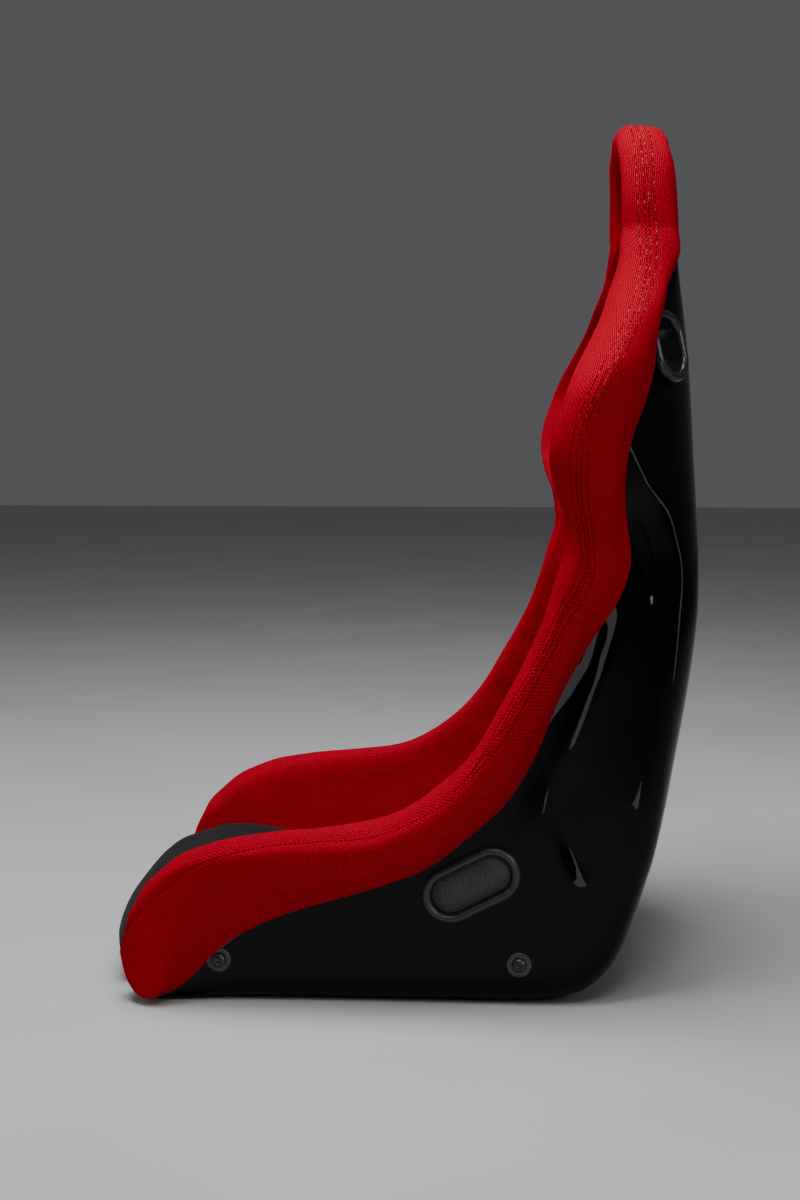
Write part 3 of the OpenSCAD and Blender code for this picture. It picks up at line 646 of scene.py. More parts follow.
def rounded(line, count, closed_in=0.0):
    """Each row of points as a smooth curve of evenly spaced points, moved in by closed_in.

    Returns the points and where each lies, counted along the row's own points."""
    n, m = line.shape[:2]
    before = np.concatenate([2 * line[:, :1] - line[:, 1:2], line[:, :-1]], 1)
    after = np.concatenate([line[:, 1:], 2 * line[:, -1:] - line[:, -2:-1]], 1)
    way = (after - before) / 2
    t = np.linspace(0, 1, 9)[:-1, None]
    a, b, da, db = line[:, :-1, None], line[:, 1:, None], way[:, :-1, None], way[:, 1:, None]
    q = 1 - t
    fine = a * (1 + 2 * t) * q * q + da * t * q * q + b * t * t * (3 - 2 * t) - db * t * t * q
    fine = np.concatenate([fine.reshape(n, -1, 2), line[:, -1:]], 1)
    at = np.linspace(0, m - 1, fine.shape[1])
    run = np.concatenate([np.zeros((n, 1)), np.cumsum(np.linalg.norm(np.diff(fine, axis=1), axis=-1), 1)], 1)
    out = np.empty((n, count, 2))
    marks = np.empty((n, count))
    for i in range(n):
        even = np.linspace(0, run[i, -1], count)
        marks[i] = np.interp(even, run[i], at)
        for axis in (0, 1):
            out[i, :, axis] = np.interp(even, run[i], fine[i, :, axis])
    if closed_in:
        t = unit(np.gradient(out, axis=1))
        out = out + closed_in * np.stack([-t[..., 1], t[..., 0]], -1)
    return out, marks


TIP_FORWARD = 0.017             # how far the rounded tip stands in front of the first station
TIP_UP, TIP_OUT = -0.040, -0.006                # the middle that it rounds in to, from the rim
TIP_ROWS = np.radians([88, 76, 62, 48, 34, 22, 11])
TIP_SPREAD, TIP_PASSES = 5, 24  # how far along and how often the joint of tip and roll is eased


def bolster_grid(line_of, count, u, closed_in=0.0):
    """A bolster's surface from its rounded front tip to the middle of the headrest."""
    line, marks = rounded(line_of(u), count, closed_in)
    body = place(u[:, None], line)
    middle = off_rim(u[:1], TIP_UP, TIP_OUT)[:, None]
    tip = []
    for a in TIP_ROWS:
        nose = place(u[:1, None], middle + (line[:1] - middle) * np.cos(a))
        tip.append(nose - [0, TIP_FORWARD * np.sin(a), 0])
    grid = np.concatenate(tip + [body])
    near_tip = np.exp(-0.5 * ((np.arange(len(grid)) - len(tip)) / TIP_SPREAD) ** 2)[1:-1, None, None]
    for _ in range(TIP_PASSES):
        eased = (grid[:-2] + grid[2:]) / 2
        grid[1:-1] += near_tip * (eased - grid[1:-1])
    return grid, np.concatenate([marks[:1]] * len(tip) + [marks])


def tunnel(side):
    """Cutter for the harness way through the shoulder: the sleeve, then the front bezel's seat."""
    at = mirror_if(side) @ SHOULDER_PLACE
    wide = oval_block("tunnel", SHOULDER_RUN, SHOULDER_R + SHOULDER_RING + GAP,
                      -SHOULDER_FACE - 0.04, -SHOULDER_FACE + GAP, at)
    way = oval_block("way", SHOULDER_RUN, SHOULDER_R + SLEEVE, -SHOULDER_FACE - 0.035, 0.034, at)
    return carve(wide, way, "UNION")


foam_grey, tree, shader = finish("bolster_foam", Roughness=0.95)
vary(tree, shader, "Base Color", noise(tree, 500, 4), 0.3, 0.7, 0.09, 0.16)
bump(tree, shader, noise(tree, 900, 3), 0.0008)
U_FOAM = np.concatenate([np.linspace(0, LAST, 4 * LAST + 1), LAST + np.linspace(0, FAN, 9)[1:]])
for side, name in ((1, "left"), (-1, "right")):
    skin, _ = bolster_grid(skin_line, 30, U_FOAM, COVER_WALL + 0.0004)
    core, _ = bolster_grid(slot_line, 30, U_FOAM)
    foam = between("bolster_foam_block_" + name, skin * [side, 1, 1], core * [side, 1, 1])
    carve(foam, tunnel(side))
    at = mirror_if(side) @ LAP_PLACE
    carve(foam, oval_block("pocket", LAP_RUN, LAP_R + LAP_RING + 0.003, -0.024, -0.003, at))
    paint(smooth(foam, 60), foam_grey)
    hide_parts("bolster_foam_" + name)
    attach(foam, "seat")

# ---- Bolster covers ----
# Each bolster wears a sleeve of red ribbed knit, pulled tight, glued inside the rim and hemmed
# against the shell. It is sewn from an outer and an inner panel. The joint runs along the crest
# of the roll and is top-stitched, once on the thigh and in parallel rows above the hip.

# Where the joint lies at each station, counted in points of the skin line
JOINT = [2.9, 2.9, 3.0, 3.6, 4.2, 4.3, 4.2, 3.9, 3.75, 3.7, 3.6,
         3.2, 2.65, 2.6, 2.9, 3.4, 3.4, 3.45, 3.4, 3.0, 2.9]
JOINT_DEEP, JOINT_WIDE = 0.0011, 0.0022
ROWS_START, ROWS_FULL = 7.0, 9.0        # stations where the parallel rows begin
ROW_SPACE, PAIR = 0.0085, 0.0021        # from the joint to a parallel row, and to its own two rows
STITCH, STITCH_PITCH, THREAD = 0.0034, 0.0044, 0.00042
COVER_POINTS = 104
FULLNESS, FOLD, FOLD_PITCH = 0.0007, 0.0013, 0.031
CREST_POINT = 40                        # the point of a row whose run spaces the ribs along the roll
SIDE_ROW, SIDE_POINT = 60, 30           # a place on the thigh where outwards is sideways

u_cover = np.concatenate([np.linspace(0, LAST, 11 * LAST + 1), LAST + np.linspace(0, FAN, 41)[1:]])
skin, marks = bolster_grid(skin_line, COVER_POINTS, u_cover)
u_rows = np.concatenate([np.full(len(TIP_ROWS), 0.0), u_cover])
along = np.concatenate([np.zeros((1, COVER_POINTS)),
                        np.cumsum(np.linalg.norm(np.diff(skin, axis=0), axis=-1), 0)])
across = np.concatenate([np.zeros((len(skin), 1)),
                         np.cumsum(np.linalg.norm(np.diff(skin, axis=1), axis=-1), 1)], 1)
along = np.repeat(along[:, CREST_POINT:CREST_POINT + 1], COVER_POINTS, 1)

joint_mark = np.interp(u_rows, range(LAST + 1), JOINT)
joint_across = np.array([np.interp(m, marks[i], across[i]) for i, m in enumerate(joint_mark)])
split = smoothstep(ROWS_START, ROWS_FULL, u_rows)
skin_way = grid_normals(skin)
skin_way *= np.sign(skin_way[SIDE_ROW, SIDE_POINT] @ [1, 0, 0])


def seam_dip(offset):
    """Depth of a sewn line that lies offset from the joint."""
    return np.exp(-0.5 * ((across - joint_across[:, None] - offset[:, None]) / JOINT_WIDE) ** 2)


# the seam pulls the cloth in; between the stitched rows it stands a little proud
dip = seam_dip(0 * split)
for s in (-1, 1):
    dip += 0.55 * split[:, None] * seam_dip(s * ROW_SPACE * split)
pucker = 1 + 0.25 * np.sin(along * 2 * np.pi / (3 * STITCH_PITCH))
fullness = FULLNESS * (np.sin(along * 46 + across * 30) * np.sin(along * 17 - across * 51)
                       + 0.6 * np.sin(along * 83 + 1.3) * np.sin(across * 70))
# folds gather on the inner side, where the roll bends tightly at the hip and the waist
inner_side = smoothstep(6.5, 9, marks)
hip_bend = np.exp(-0.5 * ((u_rows - 9.3) / 1.3) ** 2)[:, None]
waist_bend = np.exp(-0.5 * ((u_rows - 14.2) / 0.9) ** 2)[:, None]
tight_bend = hip_bend + 0.8 * waist_bend
folds = FOLD * inner_side * tight_bend * np.sin(along * 2 * np.pi / FOLD_PITCH + 6 * np.sin(across * 22))
edge_fade = smoothstep(0, 0.012, across) * smoothstep(0, 0.012, across[:, -1:] - across)
cover_lift = (fullness + folds) * edge_fade - JOINT_DEEP * dip * pucker * edge_fade
skin = skin + skin_way * cover_lift[..., None]
skin[..., 0] = np.maximum(skin[..., 0], 0.0002)
under, _ = bolster_grid(skin_line, COVER_POINTS, u_cover, COVER_WALL)
under[..., 0] = np.maximum(under[..., 0], 0.0002)
cloth_uv = np.stack([along, across], -1)

knit, tree, shader = finish("red_ribbed_knit", Roughness=0.85, Sheen_Weight=0.05, Sheen_Roughness=0.4,
                            Sheen_Tint=(1.0, 0.04, 0.06, 1), Specular_IOR_Level=0.02)
cloth = put(tree, "ShaderNodeUVMap", uv_map="UVMap").outputs["UV"]
wander = noise(tree, 260, 2)
drift = put(tree, "ShaderNodeVectorMath", {0: wander, 1: (0.0006, 0.0005, 0)}, operation="MULTIPLY")
drawn = put(tree, "ShaderNodeVectorMath", {0: cloth, 1: drift.outputs[0]}, operation="ADD").outputs[0]
ribs = put(tree, "ShaderNodeTexBrick", {
    "Vector": drawn, "Scale": 1.0, "Brick Width": 0.0034, "Row Height": 0.0019, "Mortar Size": 0.00055,
    "Mortar Smooth": 1.0, "Color1": (1, 1, 1, 1), "Color2": (0.7, 0.7, 0.7, 1), "Mortar": (0, 0, 0, 1)})
weave = put(tree, "ShaderNodeMath", {0: 1.0, 1: ribs.outputs["Fac"]}, operation="SUBTRACT").outputs[0]
patches = noise(tree, 14, 3)
shade = ramp(tree, ribs.outputs["Color"], 0.0, 0.9, (0.15, 0.0002, 0.006), (0.62, 0.0004, 0.024))
tone = put(tree, "ShaderNodeMix", {"Factor": ramp(tree, patches, 0.35, 0.7, 0.0, 0.35), "A": shade,
                                   "B": (0.48, 0.0003, 0.019, 1)}, data_type="RGBA")
tree.links.new([s for s in tone.outputs if s.type == "RGBA"][0], shader.inputs["Base Color"])
bump(tree, shader, weave, 0.0007, 0.9)

# dark thread with light tan flecks, spread by noise, which come in from 0.48 m to 0.66 m up the back
seam_thread, tree, shader = finish("seam_thread", Roughness=0.8, Specular_IOR_Level=0.1)
spot = put(tree, "ShaderNodeTexCoord").outputs["Object"]
height = put(tree, "ShaderNodeSeparateXYZ", {"Vector": spot}).outputs["Z"]
flecks = put(tree, "ShaderNodeMath", {
    0: ramp(tree, height, 0.48, 0.66, 0.0, 0.85),
    1: ramp(tree, noise(tree, 210, 1), 0.50, 0.60, 0.0, 1.0)}, operation="MULTIPLY")
vary(tree, shader, "Base Color", flecks.outputs[0], 0.1, 0.9, (0.012, 0.0006, 0.001), (0.34, 0.19, 0.12))


def laying_tree(name, geometry, sizes, result):
    """An empty geometry tree with its named inputs and its output."""
    tree = bpy.data.node_groups.new(name, "GeometryNodeTree")
    tree.interface.new_socket(geometry, in_out="INPUT", socket_type="NodeSocketGeometry")
    for label in sizes:
        tree.interface.new_socket(label, in_out="INPUT", socket_type="NodeSocketFloat")
    tree.interface.new_socket("Finish", in_out="INPUT", socket_type="NodeSocketMaterial")
    tree.interface.new_socket(result, in_out="OUTPUT", socket_type="NodeSocketGeometry")
    return tree


def close_tree(tree, laid, result):
    """Ends a geometry tree: its instances made real, and given their material."""
    real = put(tree, "GeometryNodeRealizeInstances", {"Geometry": laid.outputs["Instances"]})
    finish_in = [n for n in tree.nodes if n.type == "GROUP_INPUT"][0].outputs["Finish"]
    made = real.outputs["Geometry"]
    done = put(tree, "GeometryNodeSetMaterial", {"Geometry": made, "Material": finish_in})
    put(tree, "NodeGroupOutput", {result: done.outputs["Geometry"]})
    return tree


def stitch_tree():
    """Lays short rounded stitches along every line of points it is given."""
    tree = laying_tree("stitches", "Lines", ("Pitch", "Stitch", "Thread"), "Stitches")
    given = put(tree, "NodeGroupInput").outputs
    curve = put(tree, "GeometryNodeMeshToCurve", {"Mesh": given["Lines"]}).outputs["Curve"]
    spaced = put(tree, "GeometryNodeResampleCurve", {"Curve": curve, "Length": given["Pitch"]}, mode="LENGTH")
    way = put(tree, "GeometryNodeInputTangent").outputs["Tangent"]
    turn = put(tree, "FunctionNodeAlignEulerToVector", {"Vector": way}, axis="Z")
    bead = put(tree, "GeometryNodeMeshUVSphere", {"Segments": 6, "Rings": 5, "Radius": 0.5}).outputs["Mesh"]
    size = put(tree, "ShaderNodeCombineXYZ", {
        "X": given["Thread"], "Y": given["Thread"], "Z": given["Stitch"]})
    laid = put(tree, "GeometryNodeInstanceOnPoints", {
        "Points": spaced.outputs["Curve"], "Instance": bead, "Rotation": turn.outputs["Rotation"],
        "Scale": size.outputs["Vector"]})
    return close_tree(tree, laid, "Stitches")


STITCHES = stitch_tree()


def lay(name, mesh, tree, values):
    """Runs a geometry tree over a mesh, and keeps the result as a plain mesh."""
    obj = stand(name, mesh)
    mod = obj.modifiers.new("lay", "NODES")
    mod.node_group = tree
    for item in tree.interface.items_tree:
        if item.in_out == "INPUT" and item.name in values:
            mod[item.identifier] = values[item.name]
    return smooth(settle(obj), 60)


def on_lines(name, lines, tree, **values):
    """Runs a geometry tree over lines of points."""
    points = np.concatenate(lines)
    start, edges = 0, []
    for line in lines:
        edges += [(start + i, start + i + 1) for i in range(len(line) - 1)]
        start += len(line)
    mesh = bpy.data.meshes.new(name)
    mesh.from_pydata(points.tolist(), edges, [])
    return lay(name, mesh, tree, values)


def cover_line(offset, u_from, u_to, stand=0.0001):
    """Points along the cover at an offset from the joint, standing just off the cloth."""
    points = []
    for i, u in enumerate(u_rows):
        if u_from <= u <= u_to:
            at = joint_across[i] + offset * (split[i] if abs(offset) > PAIR else 1)
            j = np.interp(at, across[i], range(COVER_POINTS))
            a = min(int(j), COVER_POINTS - 2)
            p = skin[i, a] + (skin[i, a + 1] - skin[i, a]) * (j - a)
            points.append(p + skin_way[i, a] * stand)
    return np.array(points)


END = LAST + FAN - 0.15
SEWN_ROWS = [(-PAIR, 0.0, END), (ROW_SPACE, ROWS_START + 0.6, END),
             (-ROW_SPACE, ROWS_START + 0.6, END), (PAIR, ROWS_START, END)]
for side, name in ((1, "left"), (-1, "right")):
    sides = [side, 1, 1]
    cover = between("bolster_sleeve_" + name, skin * sides, under * sides, cloth_uv)
    carve(cover, tunnel(side))
    paint(smooth(cover, 50), knit)
    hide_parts("bolster_cover_" + name)
    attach(cover, "seat")
    sewn = on_lines("seam_stitches_" + name, [cover_line(*r) * sides for r in SEWN_ROWS], STITCHES,
                    Pitch=STITCH_PITCH, Stitch=STITCH, Thread=2 * THREAD, Finish=seam_thread)
    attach(sewn, "seat")

# ---- Lap belt bezels and blanking pads ----
# A satin black plastic bezel is pressed through each hip, held inside by a retainer ring. The
# lap opening is closed with a stuffed pad of perforated vinyl that swells a little out of it.
LIP = 0.006
FACE_RISE = 0.0062              # how far the pad swells out of its opening
PAD_BED = -0.0145               # how deep the back of the pad lies
HOLE_PITCH, HOLE_R = 0.0031, 0.00075
HOLES_LONG, HOLES_HIGH = 14, 7  # places for holes either side of the middle, along and across
HOLE_EDGE = 0.0026              # the plain border round the holes


def lip_profile(ring, lip, sleeve, wall=0.003, count=14):
    """Cut face of a bezel: a lip rounded like half an ellipse over a straight sleeve."""
    a = np.linspace(0, np.pi, count)
    top = [(ring / 2 + ring / 2 * np.cos(t), lip * np.sin(t) ** 0.8) for t in a]
    return [(ring, 0.0001)] + top[:-1] + [(0, -0.0005), (0, -sleeve), (wall, -sleeve), (wall, 0)]


satin, tree, shader = finish("satin_plastic", Roughness=0.36, IOR=1.49)
fine = noise(tree, 2200, 4, 0.6)
vary(tree, shader, "Base Color", noise(tree, 120, 4), 0.3, 0.7, (0.012, 0.012, 0.013), (0.022, 0.022, 0.023))
vary(tree, shader, "Roughness", fine, 0.35, 0.7, 0.30, 0.46)
bump(tree, shader, fine, 0.00006)

vinyl, tree, shader = finish("perforated_vinyl", Roughness=0.62, Sheen_Weight=0.12)
spot = put(tree, "ShaderNodeTexCoord").outputs["Object"]
cells = put(tree, "ShaderNodeTexVoronoi", {"Vector": spot, "Scale": 1100.0, "Randomness": 1.0})
grain = cells.outputs["Distance"]
vary(tree, shader, "Base Color", noise(tree, 80, 4), 0.3, 0.7, (0.030, 0.029, 0.028), (0.048, 0.046, 0.044))
vary(tree, shader, "Roughness", grain, 0.2, 0.8, 0.50, 0.72)
bump(tree, shader, grain, 0.00022)
# the shallow cups sunk in the holes are painted near black: painted shade for the depth of each hole
painted_hole_shade, tree, shader = finish("punched_hole_painted_shade", Roughness=0.9)
vary(tree, shader, "Base Color", noise(tree, 900, 2), 0.3, 0.7, 0.002, 0.006)


def pillow(name, run, r, bed, rise_by, matrix, rings=14):
    """A stuffed oval pad: a flat back, straight sides and a swollen face."""
    edge, n = oval(run, r, 28)
    centre = edge - n * r
    rows = [(centre, bed), (edge, bed)]
    for t in np.linspace(0, 1, rings) ** 1.3:
        rows.append((edge - n * r * t, rise_by * (1 - (1 - t) ** 2.4)))
    verts = np.concatenate([np.column_stack([flat, np.full(len(edge), z)]) for flat, z in rows])
    obj = new_piece(name, verts, grid_faces(len(rows), len(edge), wrap=True))
    obj.data.transform(matrix)
    return obj


def perforation_tree():
    """Sets a small sunk cup at every point, facing along the point's own normal."""
    tree = laying_tree("perforations", "Places", ("Radius",), "Holes")
    given = put(tree, "NodeGroupInput").outputs
    facing = put(tree, "GeometryNodeInputNamedAttribute", {"Name": "facing"}, data_type="FLOAT_VECTOR")
    turn = put(tree, "FunctionNodeAlignEulerToVector", {"Vector": facing.outputs[0]}, axis="Z")
    cup = put(tree, "GeometryNodeMeshCone", {
        "Vertices": 10, "Radius Top": 1.0, "Radius Bottom": 0.7, "Depth": 0.5}, fill_type="NGON")
    laid = put(tree, "GeometryNodeInstanceOnPoints", {
        "Points": given["Places"], "Instance": cup.outputs["Mesh"],
        "Rotation": turn.outputs["Rotation"], "Scale": given["Radius"]})
    return close_tree(tree, laid, "Holes")


PERFORATIONS = perforation_tree()


def on_points(name, points, facing, tree, **values):
    """Runs a geometry tree over loose points that each know which way they face."""
    mesh = bpy.data.meshes.new(name)
    mesh.from_pydata(np.asarray(points).tolist(), [], [])
    ways = mesh.attributes.new("facing", "FLOAT_VECTOR", "POINT")
    ways.data.foreach_set("vector", np.asarray(facing, float).ravel())
    return lay(name, mesh, tree, values)


def nearest_on(obj, points, lift=0.0):
    """The nearest places on a piece to some points, lifted off it, and which way they face."""
    bm = bmesh.new()
    bm.from_mesh(obj.data)
    tree = BVHTree.FromBMesh(bm)
    bm.free()
    found = [tree.find_nearest(Vector(p)) for p in points]
    return np.array([f[0] + f[1] * lift for f in found]), np.array([f[1] for f in found])


for side, name in ((1, "left"), (-1, "right")):
    at = mirror_if(side) @ LAP_PLACE
    bezel = oval_ring("lap_bezel_ring_" + name, LAP_RUN, LAP_R,
                      lip_profile(LAP_RING, LIP, LAP_BOSS + 0.012), at @ Matrix.Translation((0, 0, LAP_BOSS)))
    paint(smooth(bezel, 50), satin)
    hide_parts("lap_bezel_" + name)
    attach(bezel, "seat")
    paint(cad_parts["lap_retainer_" + name], satin)

    pad = pillow("lap_blanking_pad_" + name, LAP_RUN, LAP_R - GAP, PAD_BED, FACE_RISE, at)
    # the holes stand in rows, every other row moved along by half a pitch
    rows = np.arange(-HOLES_HIGH, HOLES_HIGH + 1)
    x, y = np.meshgrid(np.arange(-HOLES_LONG, HOLES_LONG + 1) * HOLE_PITCH, rows * HOLE_PITCH * 0.866)
    x = x + (rows % 2)[:, None] * HOLE_PITCH / 2
    reach = np.hypot(np.maximum(0, np.abs(x) - LAP_RUN / 2), y)
    keep = reach < LAP_R - HOLE_EDGE
    raised = np.array([at @ Vector((a, b, FACE_RISE)) for a, b in zip(x[keep], y[keep])])
    places, facing = nearest_on(pad, raised, -0.00012)
    # each hole is a shallow cup whose near-black finish is painted shade
    holes = on_points("lap_pad_perforations_" + name, places, facing, PERFORATIONS,
                      Radius=HOLE_R, Finish=painted_hole_shade)
    paint(smooth(pad, 50), vinyl)
    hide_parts("lap_pad_" + name)
    for piece in (pad, holes):
        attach(piece, "seat")

# ---- Shoulder and crotch bezels ----
# The shoulder belts pass through a pair of glossy black bezels that are sleeved into each other
# between the back of the shell and the front of the bolster. A flat bezel lines the crotch slot.
glossy, tree, shader = finish("glossy_plastic", Roughness=0.26, IOR=1.5)
vary(tree, shader, "Base Color", noise(tree, 90, 4), 0.3, 0.7, (0.009, 0.009, 0.010), (0.016, 0.016, 0.016))
vary(tree, shader, "Roughness", noise(tree, 700, 5, 0.65), 0.45, 0.8, 0.22, 0.38)
bump(tree, shader, noise(tree, 160, 2), 0.00008)
for side, name in ((1, "left"), (-1, "right")):
    at = mirror_if(side) @ SHOULDER_PLACE
    rear = oval_ring("shoulder_bezel_back_" + name, SHOULDER_RUN, SHOULDER_R,
                     lip_profile(SHOULDER_RING, LIP, BOSS_RISE + SHOULDER_FACE / 2 - 0.001),
                     at @ Matrix.Translation((0, 0, BOSS_RISE)))
    turned_round = at @ Matrix.Translation((0, 0, -SHOULDER_FACE)) @ Matrix.Rotation(math.pi, 4, "X")
    front = oval_ring("shoulder_bezel_face_" + name, SHOULDER_RUN, SHOULDER_R,
                      lip_profile(SHOULDER_RING, LIP, SHOULDER_FACE / 2 - 0.001), turned_round)
    for bezel, node in ((rear, "rear"), (front, "front")):
        paint(smooth(bezel, 50), glossy)
        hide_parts("shoulder_bezel_" + node + "_" + name)
        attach(bezel, "seat")
crotch = oval_ring("crotch_bezel_ring", CROTCH_RUN, CROTCH_R,
                   lip_profile(CROTCH_RING, 0.003, WALL + LINING_TOP - 0.0004),
                   CROTCH_PLACE @ Matrix.Translation((0, 0, WALL + LINING_TOP + 0.0002)))
paint(smooth(crotch, 50), satin)
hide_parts("crotch_bezel")
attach(crotch, "seat")

# ---- Lift-out pads ----
# The seat, back and head pads are cut foam in black knitted covers, held down with hook tape so
# that they lift out. Each cover is sewn from a face panel and a side band with a corded welt.
PAD_CLEAR = 0.004               # from the pads' edges to the bolsters
# how thick the pads are at the thigh, the seat, the small of the back, the shoulders and the head
HUMP, SEAT_PAD, LUMBAR, BACK_TOP, HEAD_PAD = 0.093, 0.052, 0.046, 0.028, 0.022
# the hump under the thighs, as stations and mm below its full height
HUMP_DROP = np.array([[1, 5], [1.5, 0.5], [2, -1], [2.5, 0], [3, 2], [3.5, 7]])
# the nose in front of the lip: y and z on the base and on the face, from the lip, in mm
NOSE = np.array([[-5, 2, -30, 3], [-5, 9, -42, 19], [-4, 15, -43, 43], [2, 18, -31, 67],
                 [12, 19, -14, 85]]) * MM
SLACK = 0.0015                  # the foam is cut this much smaller, then swells into its cover
EDGE_POWER = 24                 # how late the face and the base turn over at the sides
WELT_R, WELT_STEP, WELT_STAND = 0.0017, 0.006, 0.0004
SEWN_IN = 0.007                 # from the welt to its row of stitches

black_knit, tree, shader = finish("black_knit", Roughness=0.9, Sheen_Weight=0.06, Sheen_Roughness=0.5,
                                  Specular_IOR_Level=0.12)
spot = put(tree, "ShaderNodeTexCoord").outputs["Object"]
ribs = put(tree, "ShaderNodeTexWave", {"Vector": spot, "Scale": 150.0, "Distortion": 0.8, "Detail": 2.0,
                                       "Detail Scale": 3.0}, wave_type="BANDS", bands_direction="X")
loops = put(tree, "ShaderNodeTexWave", {"Vector": spot, "Scale": 120.0, "Distortion": 1.2, "Detail": 1.0,
                                        "Detail Scale": 4.0}, wave_type="BANDS", bands_direction="DIAGONAL")
crossed = {0: ribs.outputs["Fac"], 1: loops.outputs["Fac"]}
weave = put(tree, "ShaderNodeMath", crossed, operation="MULTIPLY").outputs[0]
shade = ramp(tree, weave, 0.0, 0.7, (0.0035, 0.0034, 0.0033), (0.020, 0.019, 0.018))
tone = put(tree, "ShaderNodeMix", {"Factor": ramp(tree, noise(tree, 16, 3), 0.35, 0.7, 0.0, 0.4), "A": shade,
                                   "B": (0.013, 0.012, 0.0115, 1)}, data_type="RGBA")
tree.links.new([s for s in tone.outputs if s.type == "RGBA"][0], shader.inputs["Base Color"])
bump(tree, shader, weave, 0.0006, 0.9)
thread_black, tree, shader = finish("pad_thread", Roughness=0.55)
vary(tree, shader, "Base Color", noise(tree, 2500, 2), 0.35, 0.65, (0.02, 0.02, 0.021), (0.07, 0.07, 0.07))


def pad_cut(base, way, thick, half, crown_by, lean=0.0, count=33):
    """One cut across a pad, base line then face line, each from side to side."""
    s = np.linspace(-1, 1, count)
    full = np.abs(s) ** 4
    side_fall = 0.14 * thick * np.abs(s) ** EDGE_POWER
    low = base + np.stack([half * s, 0 * s, 0 * s], -1) + way * (0.003 * np.abs(s) ** EDGE_POWER)[:, None]
    high = base + np.stack([(half + lean) * s, 0 * s, 0 * s], -1) \
        + way * (thick * (1 - crown_by * full) - side_fall)[:, None]
    return low, high


def pad_base(u):
    """The middle of a pad's base, on the lining."""
    u = np.array([u], float)
    return place(u, np.stack([0 * u, WALL * slant_floor(u) + PAD_LIFT], -1))[0]


def swell(obj, cap, voxel=0.005, frames=20, pressure=4.0):
    """Blows a cut foam shape up into its cover: remesh, cloth under pressure, capped and eased."""
    remesh = obj.modifiers.new("even", "REMESH")
    remesh.mode = "VOXEL"
    remesh.voxel_size = voxel
    settle(obj)
    rest = np.array([v.co for v in obj.data.vertices])
    moved = rest
    cloth = obj.modifiers.new("cover", "CLOTH")
    cloth.settings.quality = 5
    cloth.settings.mass = 0.3
    cloth.settings.tension_stiffness = 12
    cloth.settings.compression_stiffness = 12
    cloth.settings.shear_stiffness = 4
    cloth.settings.bending_stiffness = 0.4
    cloth.settings.use_pressure = True
    cloth.settings.uniform_pressure_force = pressure
    cloth.settings.effector_weights.gravity = 0
    cloth.point_cache.frame_start = 1
    cloth.point_cache.frame_end = frames
    scene = bpy.context.scene
    for f in range(1, frames + 1):
        scene.frame_set(f)
    settled = obj.evaluated_get(bpy.context.evaluated_depsgraph_get())
    moved = np.array([v.co for v in settled.data.vertices])
    obj.modifiers.clear()
    scene.frame_set(1)
    step = moved - rest
    far = np.linalg.norm(step, axis=1, keepdims=True)
    return rest, step * np.minimum(1, cap / np.maximum(far, 1e-9))


def fine_pad(obj, points):
    """Puts the swollen points back, smooths out the voxels and adds one subdivision."""
    obj.data.vertices.foreach_set("co", points.ravel())
    relax = obj.modifiers.new("relax", "SMOOTH")
    relax.factor = 0.5
    relax.iterations = 4
    fine = obj.modifiers.new("fine", "SUBSURF")
    fine.levels = fine.render_levels = 1
    settle(obj)
    return smooth(obj, 80)


def tube(name, line, radius, count=8):
    """A round cord along a closed line of points."""
    line = np.asarray(line)
    way = unit(np.roll(line, -1, 0) - np.roll(line, 1, 0))
    side = unit(np.cross(way, [0.13, 0.21, 0.97]))
    up = np.cross(side, way)
    a = np.linspace(0, 2 * np.pi, count, endpoint=False)
    a = a[None, :, None]
    rings = line[:, None] + radius * (np.cos(a) * side[:, None] + np.sin(a) * up[:, None])
    rings = np.concatenate([rings, rings[:1]])
    return new_piece(name, rings, grid_faces(len(rings), count, wrap=True))


def eased(loop, passes):
    """A closed line of points with its corners eased."""
    for _ in range(passes):
        loop = (np.roll(loop, 1, 0) + 2 * loop + np.roll(loop, -1, 0)) / 4
    return loop


def pad_piece(name, cuts, cap, body, node, holes=(), voxel=0.005):
    """A pad from its cuts, front to back, with its welt and its row of stitches."""
    low = np.array([c[0] for c in cuts])
    high = np.array([c[1] for c in cuts])
    pad = between(name, low, high)
    for hole in holes:
        carve(pad, hole)
    rest, step = swell(pad, cap, voxel)
    # the base stays on the lining, so only what stands clear of it may swell
    flat = BVHTree.FromPolygons([Vector(p) for p in low.reshape(-1, 3)], grid_faces(*low.shape[:2]))
    clear = np.array([flat.find_nearest(Vector(p))[3] for p in rest])
    fine_pad(pad, rest + step * smoothstep(0.002, 0.016, clear)[:, None])
    ring = np.concatenate([high[1:-1, -1], high[-2, -2:0:-1], high[-2:0:-1, 0], high[1, 1:-1]])
    dense = []
    for a, b in zip(ring, np.roll(ring, -1, 0)):
        steps = max(1, int(np.linalg.norm(b - a) / WELT_STEP))
        dense += [a + (b - a) * t / steps for t in range(steps)]
    dense = eased(np.array(dense), 6)
    welt_line, facing = nearest_on(pad, dense, WELT_STAND)
    welt = tube(name + "_welt", eased(welt_line, 3), WELT_R)
    inward = unit(dense.mean(0) - dense) * SEWN_IN
    sewn_line = nearest_on(pad, dense + inward + facing * 0.002, 0.0002)[0]
    sewn = on_lines(name + "_stitches", [np.concatenate([sewn_line, sewn_line[:1]])], STITCHES,
                    Pitch=STITCH_PITCH, Stitch=STITCH, Thread=2 * THREAD, Finish=thread_black)
    paint(pad, black_knit)
    paint(smooth(welt, 80), black_knit)
    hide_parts(node)
    for piece in (pad, welt, sewn):
        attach(piece, body)
    return pad


def seat_thick(u):
    """How thick the seat pad is: the hump under the thighs, then a slope down to the seat."""
    t = smoothstep(3.5, 5.7, u)
    drop = np.interp(u, HUMP_DROP[:, 0], HUMP_DROP[:, 1]) * MM
    return HUMP - drop if u <= 3.5 else (HUMP - 0.007) * (1 - t) + SEAT_PAD * t


